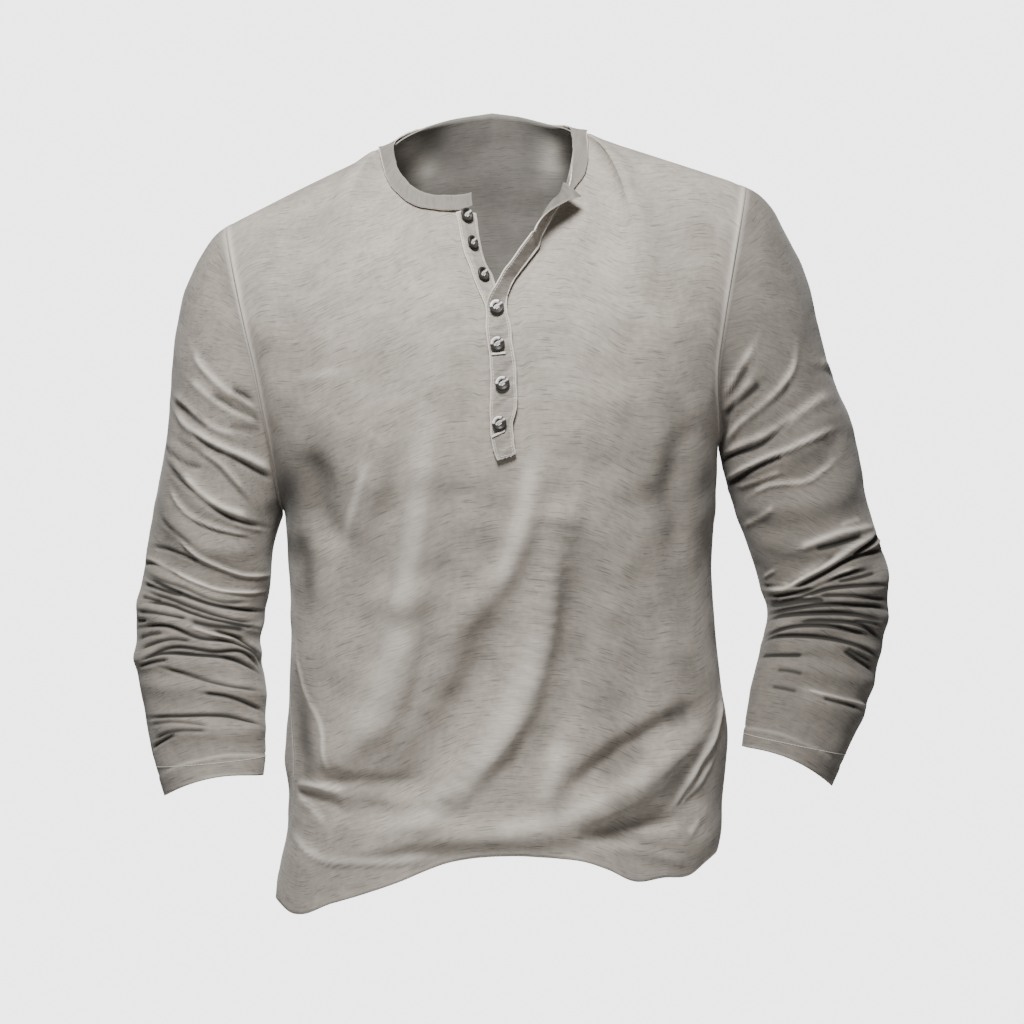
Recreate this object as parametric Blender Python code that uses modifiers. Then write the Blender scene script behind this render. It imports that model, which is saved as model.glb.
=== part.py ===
"""Henley shirt in jersey, long sleeved, filled out with no wearer.

Frame: metres, +Z up. The front faces -Y and the wearer's left is at +X. The origin lies midway
between the two points where the shoulder seams meet the neckline.

Each panel is an open surface of rows and columns, turned into a cloth wall by Solidify. The panel
surfaces are the outer side of the cloth, so every wall grows inwards.
"""

from collections import namedtuple
from math import pi

import bmesh
import bpy
import numpy as np
from mathutils import Vector
from mathutils.bvhtree import BVHTree

# ---- driving dimensions -------------------------------------------------------------------
WALL = 0.0012             # jersey wall
TRIM_WALL = 0.0012        # doubled and pressed jersey of the neckband and the placket
SEAM_GAP = 0.0003         # between pieces that meet edge to edge
SIDE_SEAM_GAP = 0.0004    # the walls lean together a little at the side seams
SLEEVE_SEAM_GAP = 0.00036
SHOULDER_SEAM_GAP = 0.0008    # and more over the ridge of the shoulders
LAYER_GAP = 0.0005        # between a strip and what it lies on
ROUNDNESS = 2.4           # exponent of the torso's oval: 2 is an ellipse, more is squarer

CHEST_LEVEL = -0.200      # row across the chest where the armhole runs straight up
SLIT_BOTTOM = -0.300      # lower end of the slit under the placket
ARMPIT_LEVEL = {-1: -0.3404, 1: -0.2806}    # by side: -1 the wearer's right, 1 the left
ARMHOLE_DEPTH = 0.068     # how far the armhole stands forward and back of the side line
HEM_OVAL_LEVEL = -0.680   # height of the oval from which the hem is spread
SLIT_PULL_START = 0.45    # share of the half front beyond which the cloth follows the slit
FOLD_MARGIN = 0.10        # the folds fade out over this share of a half panel at its side

BAND_WIDTH = 0.015        # neckband
STRIP_WIDTH = {"under": 0.0202, "over": 0.0235}
PLACKET_LAP = 0.003       # the strips lap over the panel's slit edge by this much
PLACKET_BEND = 0.0012     # and bend this far beyond it
BAND_END_GAP = 0.0012     # between the strips' upper ends and the neckband
PLACKET_FOOT = 0.005      # and run on this far below the slit
BUTTON_RADIUS = 0.0065
BUTTON_HEIGHT = 0.0026
SHANK_LENGTH = 0.0008
BUTTON_GAP = 0.0007       # under the shank, on the bent strip
SHANK_RADIUS = 0.0018
CUFF_ARCH = 0.009         # how much higher the cuff's front and back run than its sides

UNDER_LIFT = LAYER_GAP + TRIM_WALL          # outer side of the under strip off the panel
BAND_LIFT = UNDER_LIFT + 0.0004              # the neckband rounds the neck more freely
SHOULDER_LIFT = 0.0024    # added where it crosses the shoulder seams
OVER_LIFT = 2 * (LAYER_GAP + TRIM_WALL)     # outer side of the over strip off the panel
JERSEY_COLOR = (0.46, 0.43, 0.40)
TRIM_COLOR = (0.52, 0.49, 0.46)
BUTTON_COLOR = (0.10, 0.085, 0.075)

# ---- mesh resolution ----------------------------------------------------------------------
HEM_ROWS = 14             # hem to armpit
ARMHOLE_ROWS = 6          # armpit to the chest row
YOKE_ROWS = 8             # chest row to shoulder and neckline
CHEST_TANGENT = 1.97      # level just under the chest row (2), which gives its slope
SHOULDER_COLUMNS = 8
NECK_COLUMNS = 8
SLEEVE_RINGS = 26
BAND_ROWS = 3
PLACKET_ROWS = 22
PLACKET_COLUMNS = 4
BUTTON_STEPS = 12
BAND_SMOOTHING = 4        # rounds of averaging the band's direction round the neck
SHOULDER_STATIONS = 4     # reach of the added lift at the shoulder seams
CORNER_STATIONS = 9       # over which the band's left end turns down along the slit

# ---- torso: the oval at each height -------------------------------------------------------
# right and left are the oval's outermost x, mid its centre line, front and back its depth.
Oval = namedtuple("Oval", "z right left mid front back")
OVALS = (
    Oval(-0.720, -0.190, 0.208, 0.014, 0.119, 0.113),
    Oval(-0.690, -0.190, 0.210, 0.014, 0.119, 0.114),
    Oval(-0.664, -0.186, 0.213, 0.015, 0.118, 0.115),
    Oval(-0.635, -0.180, 0.219, 0.016, 0.116, 0.115),
    Oval(-0.605, -0.179, 0.220, 0.017, 0.113, 0.114),
    Oval(-0.576, -0.181, 0.223, 0.018, 0.112, 0.111),
    Oval(-0.546, -0.180, 0.225, 0.019, 0.111, 0.107),
    Oval(-0.502, -0.178, 0.219, 0.019, 0.113, 0.102),
    Oval(-0.443, -0.176, 0.213, 0.018, 0.118, 0.101),
    Oval(-0.400, -0.178, 0.210, 0.018, 0.125, 0.104),
    Oval(-0.3404, -0.183, 0.213, 0.018, 0.136, 0.113),
    Oval(-0.304, -0.194, 0.214, 0.018, 0.141, 0.119),
    Oval(-0.2806, -0.202, 0.216, 0.018, 0.142, 0.122),
    Oval(-0.250, -0.213, 0.222, 0.017, 0.140, 0.125),
    Oval(-0.200, -0.229, 0.232, 0.016, 0.135, 0.126),
)

# The side seams leave the side line and swing forward near the hem: turn is the angle round
# the oval at which the seam runs, positive towards the front.
Swing = namedtuple("Swing", "z right left")
SWINGS = (
    Swing(-0.720, 2.0, 4.0),
    Swing(-0.640, 6.0, 6.0),
    Swing(-0.575, 20.0, 5.0),
    Swing(-0.530, 15.0, 2.0),
    Swing(-0.470, 3.0, 0.0),
    Swing(-0.400, 0.0, 0.0),
    Swing(-0.280, 0.0, 0.0),
    Swing(-0.200, 0.0, 0.0),
)

# Hem height along the front and the back, by x.
Hem = namedtuple("Hem", "x front back")
HEMS = (
    Hem(-0.190, -0.694, -0.694),
    Hem(-0.176, -0.703, -0.686),
    Hem(-0.135, -0.691, -0.680),
    Hem(-0.084, -0.673, -0.672),
    Hem(-0.034, -0.653, -0.668),
    Hem(0.016, -0.647, -0.666),
    Hem(0.066, -0.649, -0.664),
    Hem(0.091, -0.652, -0.662),
    Hem(0.116, -0.660, -0.660),
    Hem(0.141, -0.671, -0.657),
    Hem(0.167, -0.669, -0.653),
    Hem(0.194, -0.667, -0.650),
    Hem(0.212, -0.650, -0.650),
)

# ---- shoulder seams and necklines ---------------------------------------------------------
Point = namedtuple("Point", "x y z")
SHOULDER_TIP = {-1: Point(-0.2355, 0.0, -0.0800), 1: Point(0.2411, 0.0, -0.0435)}
SHOULDER_BOW = {-1: 0.0022, 1: 0.0015}      # how far the seam bows up in its middle
NECKLINE = {
    ("front", -1): (
        Point(-0.0837, 0.000, -0.0060),
        Point(-0.0795, -0.025, -0.0262),
        Point(-0.0685, -0.050, -0.0436),
        Point(-0.0515, -0.070, -0.0575),
        Point(-0.0213, -0.086, -0.0600),
    ),
    ("front", 1): (
        Point(0.0810, 0.000, 0.0087),
        Point(0.0823, -0.022, -0.0088),
        Point(0.0800, -0.045, -0.0275),
        Point(0.0762, -0.068, -0.0500),
    ),
    ("back", -1): (
        Point(-0.0837, 0.000, -0.0060),
        Point(-0.0747, 0.014, 0.0030),
        Point(-0.0588, 0.030, 0.0132),
        Point(-0.0340, 0.048, 0.0238),
        Point(0.0079, 0.061, 0.0323),
    ),
    ("back", 1): (
        Point(0.0810, 0.000, 0.0087),
        Point(0.0749, 0.022, 0.0142),
        Point(0.0585, 0.044, 0.0205),
        Point(0.0340, 0.058, 0.0284),
        Point(0.0079, 0.061, 0.0323),
    ),
}

# Direction in which the cloth arrives at the top row, by place along it: 0 the shoulder tip,
# 1 the neck point, 2 the centre. inward points from the side to the centre line, over points
# from the panel's own side over the shoulder. The left front is drawn aside, so its cloth
# arrives from the side (drawn).
Arrival = namedtuple("Arrival", "place inward over up drawn")
ARRIVALS = (
    Arrival(0.0, 0.00, 1.00, 0.03, 0.00),
    Arrival(0.7, 0.00, 1.00, 0.03, 0.00),
    Arrival(1.0, 0.50, 0.85, 0.05, 0.60),
    Arrival(1.4, 0.45, 0.60, 0.65, 1.60),
    Arrival(2.0, 0.00, 0.40, 0.90, 1.30),
)

# Edges of the slit by height: closed below, then open as a V. under is the button side.
Slit = namedtuple("Slit", "z under over")
SLITS = (
    Slit(-0.310, 0.0120, 0.0275),
    Slit(-0.280, 0.0105, 0.0265),
    Slit(-0.245, 0.0090, 0.0270),
    Slit(-0.210, 0.0095, 0.0270),
    Slit(-0.180, 0.0070, 0.0240),
    Slit(-0.160, 0.0050, 0.0210),
    Slit(-0.141, -0.0020, 0.0250),
    Slit(-0.129, -0.0065, 0.0325),
    Slit(-0.110, -0.0130, 0.0455),
    Slit(-0.083, -0.0185, 0.0600),
    Slit(-0.060, -0.0213, 0.0735),
    Slit(-0.050, -0.0213, 0.0762),
)

# How the two strips of the placket stand, by height: under leans into the neck, over stands
# off the chest, both in degrees.
Lean = namedtuple("Lean", "z under over")
LEANS = (
    Lean(-0.320, 4.0, 4.0),
    Lean(-0.172, 4.0, 4.0),
    Lean(-0.155, 14.0, 17.0),
    Lean(-0.135, 30.0, 42.0),
    Lean(-0.110, 38.0, 52.0),
    Lean(-0.085, 40.0, 55.0),
    Lean(-0.050, 38.0, 60.0),
)
PLACKET_BREAK = -0.160    # height where the two strips part
BREAK_LENGTH = 0.012      # over which they do so

# ---- sleeves: one slanting ring per row ---------------------------------------------------
# The outer and inner point of the ring in the front view, the ring's centre depth y and its
# half depth.
Ring = namedtuple("Ring", "outer_x outer_z inner_x inner_z y depth")
SLEEVES = {
    -1: (
        Ring(-0.2580, -0.103, -0.1845, -0.3460, 0.003, 0.069),
        Ring(-0.2727, -0.134, -0.1865, -0.3510, 0.003, 0.069),
        Ring(-0.2819, -0.173, -0.1885, -0.3570, 0.003, 0.068),
        Ring(-0.2874, -0.221, -0.1907, -0.3652, 0.003, 0.066),
        Ring(-0.2902, -0.267, -0.1926, -0.3754, 0.003, 0.064),
        Ring(-0.2976, -0.311, -0.1944, -0.3892, 0.003, 0.062),
        Ring(-0.3048, -0.351, -0.1952, -0.4048, 0.002, 0.059),
        Ring(-0.3109, -0.388, -0.1978, -0.4213, 0.000, 0.057),
        Ring(-0.3169, -0.427, -0.2030, -0.4433, -0.004, 0.056),
        Ring(-0.3169, -0.464, -0.2042, -0.4705, -0.012, 0.055),
        Ring(-0.3110, -0.505, -0.1996, -0.5028, -0.024, 0.052),
        Ring(-0.3030, -0.545, -0.1977, -0.5384, -0.038, 0.047),
        Ring(-0.2956, -0.572, -0.1969, -0.5631, -0.048, 0.043),
        Ring(-0.2866, -0.598, -0.1981, -0.5796, -0.056, 0.040),
    ),
    1: (
        Ring(0.2644, -0.062, 0.2172, -0.2850, 0.003, 0.069),
        Ring(0.2819, -0.092, 0.2182, -0.2895, 0.003, 0.069),
        Ring(0.2994, -0.133, 0.2195, -0.2955, 0.003, 0.068),
        Ring(0.3104, -0.178, 0.2215, -0.3044, 0.003, 0.067),
        Ring(0.3215, -0.217, 0.2248, -0.3164, 0.003, 0.065),
        Ring(0.3362, -0.252, 0.2294, -0.3330, 0.003, 0.063),
        Ring(0.3473, -0.296, 0.2349, -0.3514, 0.003, 0.060),
        Ring(0.3545, -0.336, 0.2422, -0.3707, 0.002, 0.058),
        Ring(0.3662, -0.377, 0.2521, -0.3956, 0.000, 0.056),
        Ring(0.3712, -0.423, 0.2610, -0.4286, -0.004, 0.055),
        Ring(0.3660, -0.460, 0.2569, -0.4596, -0.010, 0.053),
        Ring(0.3566, -0.496, 0.2488, -0.4848, -0.020, 0.050),
        Ring(0.3434, -0.533, 0.2415, -0.5188, -0.032, 0.046),
        Ring(0.3306, -0.560, 0.2372, -0.5418, -0.042, 0.043),
        Ring(0.3162, -0.590, 0.2350, -0.5540, -0.050, 0.040),
    ),
}

# ---- largest folds ------------------------------------------------------------------------
# On the torso a fold runs from start over bend to end, in the front view; width is half its
# breadth and height how far it stands out, negative for a trough.
Fold = namedtuple("Fold", "start_x start_z bend_x bend_z end_x end_z width height")
FOLDS = {
    "front": (
        Fold(-0.046, -0.270, -0.050, -0.330, -0.074, -0.420, 0.015, 0.0045),
        Fold(-0.074, -0.420, -0.090, -0.500, -0.130, -0.560, 0.020, 0.0075),
        Fold(0.056, -0.306, 0.038, -0.390, -0.008, -0.440, 0.014, 0.0045),
        Fold(0.068, -0.350, 0.050, -0.500, -0.050, -0.610, 0.018, 0.0080),
        Fold(0.068, -0.570, 0.060, -0.600, 0.055, -0.622, 0.016, 0.0045),
        Fold(-0.130, -0.645, -0.060, -0.632, 0.040, -0.628, 0.013, 0.0050),
        Fold(0.180, -0.550, 0.130, -0.600, 0.080, -0.630, 0.015, 0.0055),
        Fold(-0.135, -0.330, -0.110, -0.400, -0.100, -0.460, 0.026, -0.0050),
        Fold(0.186, -0.530, 0.140, -0.560, 0.100, -0.580, 0.016, -0.0050),
        Fold(0.075, -0.640, 0.140, -0.625, 0.186, -0.600, 0.012, -0.0045),
        Fold(0.120, -0.300, 0.150, -0.340, 0.175, -0.420, 0.026, -0.0050),
        Fold(0.000, -0.480, -0.030, -0.560, -0.090, -0.600, 0.016, -0.0050),
        Fold(-0.020, -0.330, -0.030, -0.420, -0.060, -0.520, 0.014, -0.0035),
    ),
    "back": (
        Fold(-0.020, -0.120, -0.010, -0.260, -0.040, -0.400, 0.020, 0.0040),
        Fold(0.080, -0.200, 0.050, -0.330, 0.070, -0.440, 0.018, 0.0045),
        Fold(-0.100, -0.240, -0.080, -0.340, -0.110, -0.430, 0.018, -0.0045),
        Fold(-0.150, -0.470, -0.040, -0.500, 0.050, -0.480, 0.014, 0.0060),
        Fold(0.160, -0.500, 0.060, -0.540, -0.030, -0.530, 0.014, 0.0055),
        Fold(-0.120, -0.520, -0.040, -0.540, 0.030, -0.515, 0.012, -0.0045),
        Fold(-0.140, -0.560, -0.060, -0.590, 0.000, -0.650, 0.016, 0.0050),
        Fold(0.150, -0.560, 0.090, -0.600, 0.060, -0.655, 0.016, 0.0050),
    ),
}

UNDERARM_ANGLE = 0.30 * pi    # half the arc under the arm where the sleeve runs sideways
FIRST_RING = 0.004        # length of the sleeve's first ring, which carries the seam's direction
SLEEVE_HEAD = 0.08        # shares of the sleeve's length with no creases, at the armhole
CUFF_SHARE = 0.05         # and at the cuff
CREASE_STEEPNESS = 1.8    # how fast a crease fades out at its ends

# On a sleeve a fold crosses the arm: outer, front and inner give its place down the sleeve
# (0 armhole, 1 cuff) at those sides, reach how far round the arm it runs in degrees.
Crease = namedtuple("Crease", "middle reach outer front inner width height")
CREASES = {
    -1: (
        Crease(70, 95, 0.30, 0.36, 0.18, 0.016, 0.0045),
        Crease(80, 90, 0.37, 0.45, 0.30, 0.014, 0.0045),
        Crease(75, 95, 0.47, 0.53, 0.47, 0.014, -0.0035),
        Crease(90, 150, 0.60, 0.63, 0.62, 0.010, 0.0050),
        Crease(120, 120, 0.655, 0.675, 0.69, 0.010, 0.0045),
        Crease(60, 140, 0.715, 0.72, 0.75, 0.010, 0.0055),
        Crease(100, 140, 0.765, 0.775, 0.80, 0.010, 0.0045),
        Crease(110, 120, 0.86, 0.875, 0.885, 0.010, 0.0040),
        Crease(250, 120, 0.62, 0.61, 0.60, 0.012, 0.0050),
        Crease(260, 120, 0.74, 0.73, 0.75, 0.012, 0.0045),
    ),
    1: (
        Crease(100, 95, 0.28, 0.32, 0.22, 0.016, 0.0045),
        Crease(90, 100, 0.40, 0.44, 0.33, 0.014, 0.0045),
        Crease(80, 100, 0.50, 0.52, 0.47, 0.012, 0.0040),
        Crease(60, 130, 0.585, 0.64, 0.66, 0.012, 0.0045),
        Crease(90, 150, 0.68, 0.69, 0.70, 0.010, 0.0050),
        Crease(90, 130, 0.745, 0.735, 0.73, 0.010, 0.0045),
        Crease(60, 120, 0.81, 0.79, 0.78, 0.010, 0.0040),
        Crease(60, 110, 0.88, 0.86, 0.87, 0.012, 0.0035),
        Crease(255, 120, 0.63, 0.62, 0.60, 0.012, 0.0050),
        Crease(250, 120, 0.73, 0.72, 0.74, 0.012, 0.0045),
    ),
}

# ---- buttons ------------------------------------------------------------------------------
# Half section of the button from its middle over the rim to the back, in radii and heights.
BUTTON_PROFILE = ((0.0, 0.62), (0.55, 0.62), (0.72, 0.95), (0.86, 1.0), (0.97, 0.82),
                  (1.0, 0.5), (0.9, 0.1), (0.7, 0.0))
BUTTON_HEIGHTS = (-0.082, -0.105, -0.134, -0.1640, -0.1975, -0.2310, -0.2660)
OPEN_BUTTONS = 3          # the upper ones sit on the open under strip


# ---- curves -------------------------------------------------------------------------------
def spline(at, knots, values, first_slope=None):
    """Smooth curve through values at knots: cubic Hermite with finite-difference slopes."""
    knots = np.asarray(knots, float)
    values = np.asarray(values, float)
    slopes = np.gradient(values, knots, axis=0)
    if first_slope is not None:
        slopes[0] = first_slope
    at = np.clip(np.asarray(at, float), knots[0], knots[-1])
    k = np.clip(np.searchsorted(knots, at, side="right") - 1, 0, len(knots) - 2)
    span = knots[k + 1] - knots[k]
    f = (at - knots[k]) / span
    extra = (1,) * (values.ndim - 1)
    f = f.reshape(f.shape + extra)
    span = span.reshape(span.shape + extra)
    rise = f * f * (3 - 2 * f)
    return (values[k] * (1 - rise) + values[k + 1] * rise
            + slopes[k] * span * f * (1 - f) ** 2 - slopes[k + 1] * span * f * f * (1 - f))


def column(table, name):
    """One named column of a table, as an array."""
    return np.array([getattr(row, name) for row in table])


def read(table, name, at, by="z"):
    """A table's column read smoothly at the given heights."""
    return spline(at, column(table, by), column(table, name))


def unit(v):
    return v / np.linalg.norm(v, axis=-1, keepdims=True)


def ease(f):
    f = np.clip(f, 0, 1)
    return f * f * (3 - 2 * f)


def surface_normals(grid):
    """Unit normals of a grid of points, from the cross product of its two directions."""
    along = np.gradient(grid, axis=0)
    across = np.gradient(grid, axis=1)
    return unit(np.cross(across, along))


# ---- torso panels -------------------------------------------------------------------------
def oval_point(turn, z, side, face):
    """Point of the oval at height z; turn is 0 at the side line and 90 degrees at the centre.

    A negative turn lies on the other face, so a seam may swing past the side line.
    """
    mid = read(OVALS, "mid", z)
    reach = np.abs(read(OVALS, "right" if side < 0 else "left", z) - mid)
    front, back = read(OVALS, "front", z), read(OVALS, "back", z)
    own, other = (front, back) if face == "front" else (back, front)
    depth = np.where(turn >= 0, own, other)
    x = mid + side * reach * np.cos(turn) ** (2 / ROUNDNESS)
    y = depth * np.sign(turn) * np.abs(np.sin(turn)) ** (2 / ROUNDNESS)
    return np.stack([x, -y if face == "front" else y, z + 0 * x], axis=-1)


def girth(u, level, side, face):
    """Panel point between the hem (level 0), the armpit (1) and the chest row (2)."""
    way = 1 if face == "front" else -1
    armpit = ARMPIT_LEVEL[side]
    swing_name = "right" if side < 0 else "left"
    edge_x = read(OVALS, swing_name, HEM_OVAL_LEVEL)
    centre_x = read(OVALS, "mid", HEM_OVAL_LEVEL)
    hem_x = centre_x + (edge_x - centre_x) * np.cos(u * pi / 2) ** (2 / ROUNDNESS)
    hem_z = read(HEMS, face, hem_x, by="x")
    armpit_row = armpit + (SLIT_BOTTOM - armpit) * ease(u)
    bend = np.clip(level - 1, 0, 1) * pi / 2
    edge_z = CHEST_LEVEL + (armpit - CHEST_LEVEL) * np.cos(bend)
    mid_z = SLIT_BOTTOM + (CHEST_LEVEL - SLIT_BOTTOM) * np.clip(level - 1, 0, 1)
    upper_z = edge_z + (mid_z - edge_z) * ease(u)
    lower_z = hem_z + (armpit_row - hem_z) * np.clip(level, 0, 1)
    z = np.where(level < 1, lower_z, upper_z)
    depth = read(OVALS, face, edge_z)
    edge_y = ARMHOLE_DEPTH * np.sin(bend)
    armhole_turn = np.arcsin((edge_y / depth) ** (ROUNDNESS / 2))
    swing = way * np.radians(read(SWINGS, swing_name, z))
    start = np.where(level < 1, swing, armhole_turn)
    turn = start + (pi / 2 - start) * u
    return oval_point(turn, z, side, face)


def top_row(u, neck_u, side, face):
    """Shoulder seam from the tip to the neck point, then the neckline to the centre."""
    line = np.array(NECKLINE[face, side])
    steps = np.linalg.norm(np.diff(line, axis=0), axis=1)
    knots = np.concatenate([[0], np.cumsum(steps)]) / steps.sum()
    neck = spline(np.clip((u - neck_u) / (1 - neck_u), 0, 1), knots, line)
    tip = np.array(SHOULDER_TIP[side])
    along = np.clip(u / neck_u, 0, 1)[:, None]
    bow = np.array([0, 0, SHOULDER_BOW[side]])
    seam = tip + (line[0] - tip) * along + bow * 4 * along * (1 - along)
    return np.where((u < neck_u)[:, None], seam, neck)


def slit_shift(grid, u, side):
    """Moves the columns near the centre so that the last one runs along the slit's edge."""
    z = grid[-1, :, 2]
    edge = read(SLITS, "under" if side < 0 else "over", z)
    shift = np.where(z > SLIT_BOTTOM + SEAM_GAP, edge - grid[-1, :, 0], 0)
    pull = ease((u - SLIT_PULL_START) / (1 - SLIT_PULL_START))
    grid[:, :, 0] += pull[:, None] * shift[None, :]


def fold_height(points, face):
    """Sum of the folds at the given points: a bell across each fold's bent line."""
    total = np.zeros(points.shape[:-1])
    t = np.linspace(0, 1, 25)[:, None]
    for fold in FOLDS[face]:
        start = np.array([fold.start_x, fold.start_z])
        bend = np.array([fold.bend_x, fold.bend_z])
        end = np.array([fold.end_x, fold.end_z])
        line = start * (1 - t) ** 2 + bend * 2 * t * (1 - t) + end * t * t
        gap = points[..., None, [0, 2]] - line
        nearest = np.min(np.sum(gap * gap, axis=-1), axis=-1)
        total += fold.height * np.exp(-nearest / fold.width ** 2)
    return total


def panel_half(side, face):
    """Grid of one half of a panel: columns from the side to the centre, rows from hem to top."""
    neck_share = SHOULDER_COLUMNS / (SHOULDER_COLUMNS + NECK_COLUMNS)
    u = np.concatenate([np.linspace(0, neck_share, SHOULDER_COLUMNS + 1),
                        np.linspace(neck_share, 1, NECK_COLUMNS + 1)[1:]])
    neck_u = u[SHOULDER_COLUMNS]
    levels = np.concatenate([np.linspace(0, 1, HEM_ROWS + 1)[:-1],
                             np.linspace(1, 2, ARMHOLE_ROWS + 1)])
    lower = np.stack([girth(u, np.full_like(u, lv), side, face) for lv in levels], axis=1)

    chest = lower[:, -1]
    below = girth(u, np.full_like(u, CHEST_TANGENT), side, face)
    top = top_row(u, neck_u, side, face)
    place = np.where(u < neck_u, u / neck_u, 1 + (u - neck_u) / (1 - neck_u))
    over = 1 if face == "front" else -1
    inward = "drawn" if (side, face) == (1, "front") else "inward"
    arrive = unit(np.stack([-side * read(ARRIVALS, inward, place, by="place"),
                            over * read(ARRIVALS, "over", place, by="place"),
                            read(ARRIVALS, "up", place, by="place")], axis=-1))
    chord = np.linalg.norm(top - chest, axis=-1, keepdims=True)
    leave = unit(chest - below) * chord
    arrive = arrive * chord
    h = np.linspace(0, 1, YOKE_ROWS + 1)[1:, None, None]
    rise = h * h * (3 - 2 * h)
    yoke = (chest * (1 - rise) + top * rise
            + leave * h * (1 - h) ** 2 - arrive * h * h * (1 - h))
    grid = np.concatenate([lower, np.swapaxes(yoke, 0, 1)], axis=1)

    if face == "front":
        slit_shift(grid, u, side)
    normals = half_normals(grid, side, face)
    fade = ease(u / FOLD_MARGIN)[:, None] * np.ones(grid.shape[1])[None, :]
    grid = grid + normals * (fold_height(grid, face) * fade)[..., None]
    return grid


def half_normals(grid, side, face):
    """Outward normals of a half panel: the grid turns one way on two halves, the other on two."""
    turn = side if face == "front" else -side
    return turn * surface_normals(grid)


def trim_edges(grid):
    """Draws the side seam and the shoulder seam back, which leaves the seam's gap."""
    seam = slice(0, HEM_ROWS + 1)
    grid[0, seam] += unit(grid[1, seam] - grid[0, seam]) * SIDE_SEAM_GAP / 2
    tops = slice(0, SHOULDER_COLUMNS + 1)
    grid[tops, -1] += unit(grid[tops, -2] - grid[tops, -1]) * SHOULDER_SEAM_GAP / 2


# ---- meshes -------------------------------------------------------------------------------
def material(name, color, roughness):
    mat = bpy.data.materials.new(name)
    mat.use_nodes = True
    shader = mat.node_tree.nodes["Principled BSDF"]
    shader.inputs["Base Color"].default_value = (*color, 1.0)
    shader.inputs["Roughness"].default_value = roughness
    shader.inputs["Metallic"].default_value = 0.0
    mat.diffuse_color = (*color, 1.0)
    return mat


def new_object(name, mesh, color, roughness):
    obj = bpy.data.objects.new(name, mesh)
    mesh.materials.append(material(name, color, roughness))
    mesh.shade_smooth()
    collection.objects.link(obj)
    return obj


def grid_faces(rows, columns, offset, flip, closed=False):
    """Quads of a grid whose point i, j has the index offset + i * columns + j."""
    faces = []
    for i in range(rows if closed else rows - 1):
        for j in range(columns - 1):
            k = (i + 1) % rows
            quad = [offset + i * columns + j, offset + k * columns + j,
                    offset + k * columns + j + 1, offset + i * columns + j + 1]
            faces.append(quad[::-1] if flip else quad)
    return faces


def cloth(name, grids, flips, color, wall=WALL, closed=False):
    """Open surface of one or more grids, welded where they meet, with a wall grown inwards."""
    points, faces = [], []
    for grid, flip in zip(grids, flips):
        rows, columns = grid.shape[:2]
        faces += grid_faces(rows, columns, len(points), flip, closed)
        points += [tuple(p) for p in grid.reshape(-1, 3)]
    mesh = bpy.data.meshes.new(name)
    mesh.from_pydata(points, [], faces)
    shape = bmesh.new()
    shape.from_mesh(mesh)
    bmesh.ops.remove_doubles(shape, verts=shape.verts, dist=0.00002)
    shape.to_mesh(mesh)
    shape.free()
    obj = new_object(name, mesh, color, 0.92)
    solidify = obj.modifiers.new("wall", "SOLIDIFY")
    solidify.thickness = wall
    solidify.offset = -1.0
    return obj


# ---- sleeves ------------------------------------------------------------------------------
def armhole(front, back, side):
    """The armhole's points from the shoulder tip down the front and up the back.

    Also the direction in which the cloth runs on across each point of the seam.
    """
    points, runs = [], []
    for grid, face in ((front, "front"), (back, "back")):
        edge = grid[0, HEM_ROWS:]
        normal = half_normals(grid, side, face)[0, HEM_ROWS:]
        run = unit(np.cross(np.gradient(edge, axis=0), normal))
        inside = grid[1, HEM_ROWS:] - edge
        run = np.where(np.sum(run * inside, axis=-1, keepdims=True) > 0, -run, run)
        points.append(edge)
        runs.append(run)
    shared = unit(runs[0] + runs[1])
    for run in runs:
        run[0], run[-1] = (0, 0, 1), shared[-1]
    loop = np.concatenate([points[0][::-1], points[1][1:-1]])
    return loop, np.concatenate([runs[0][::-1], runs[1][1:-1]])


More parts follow.
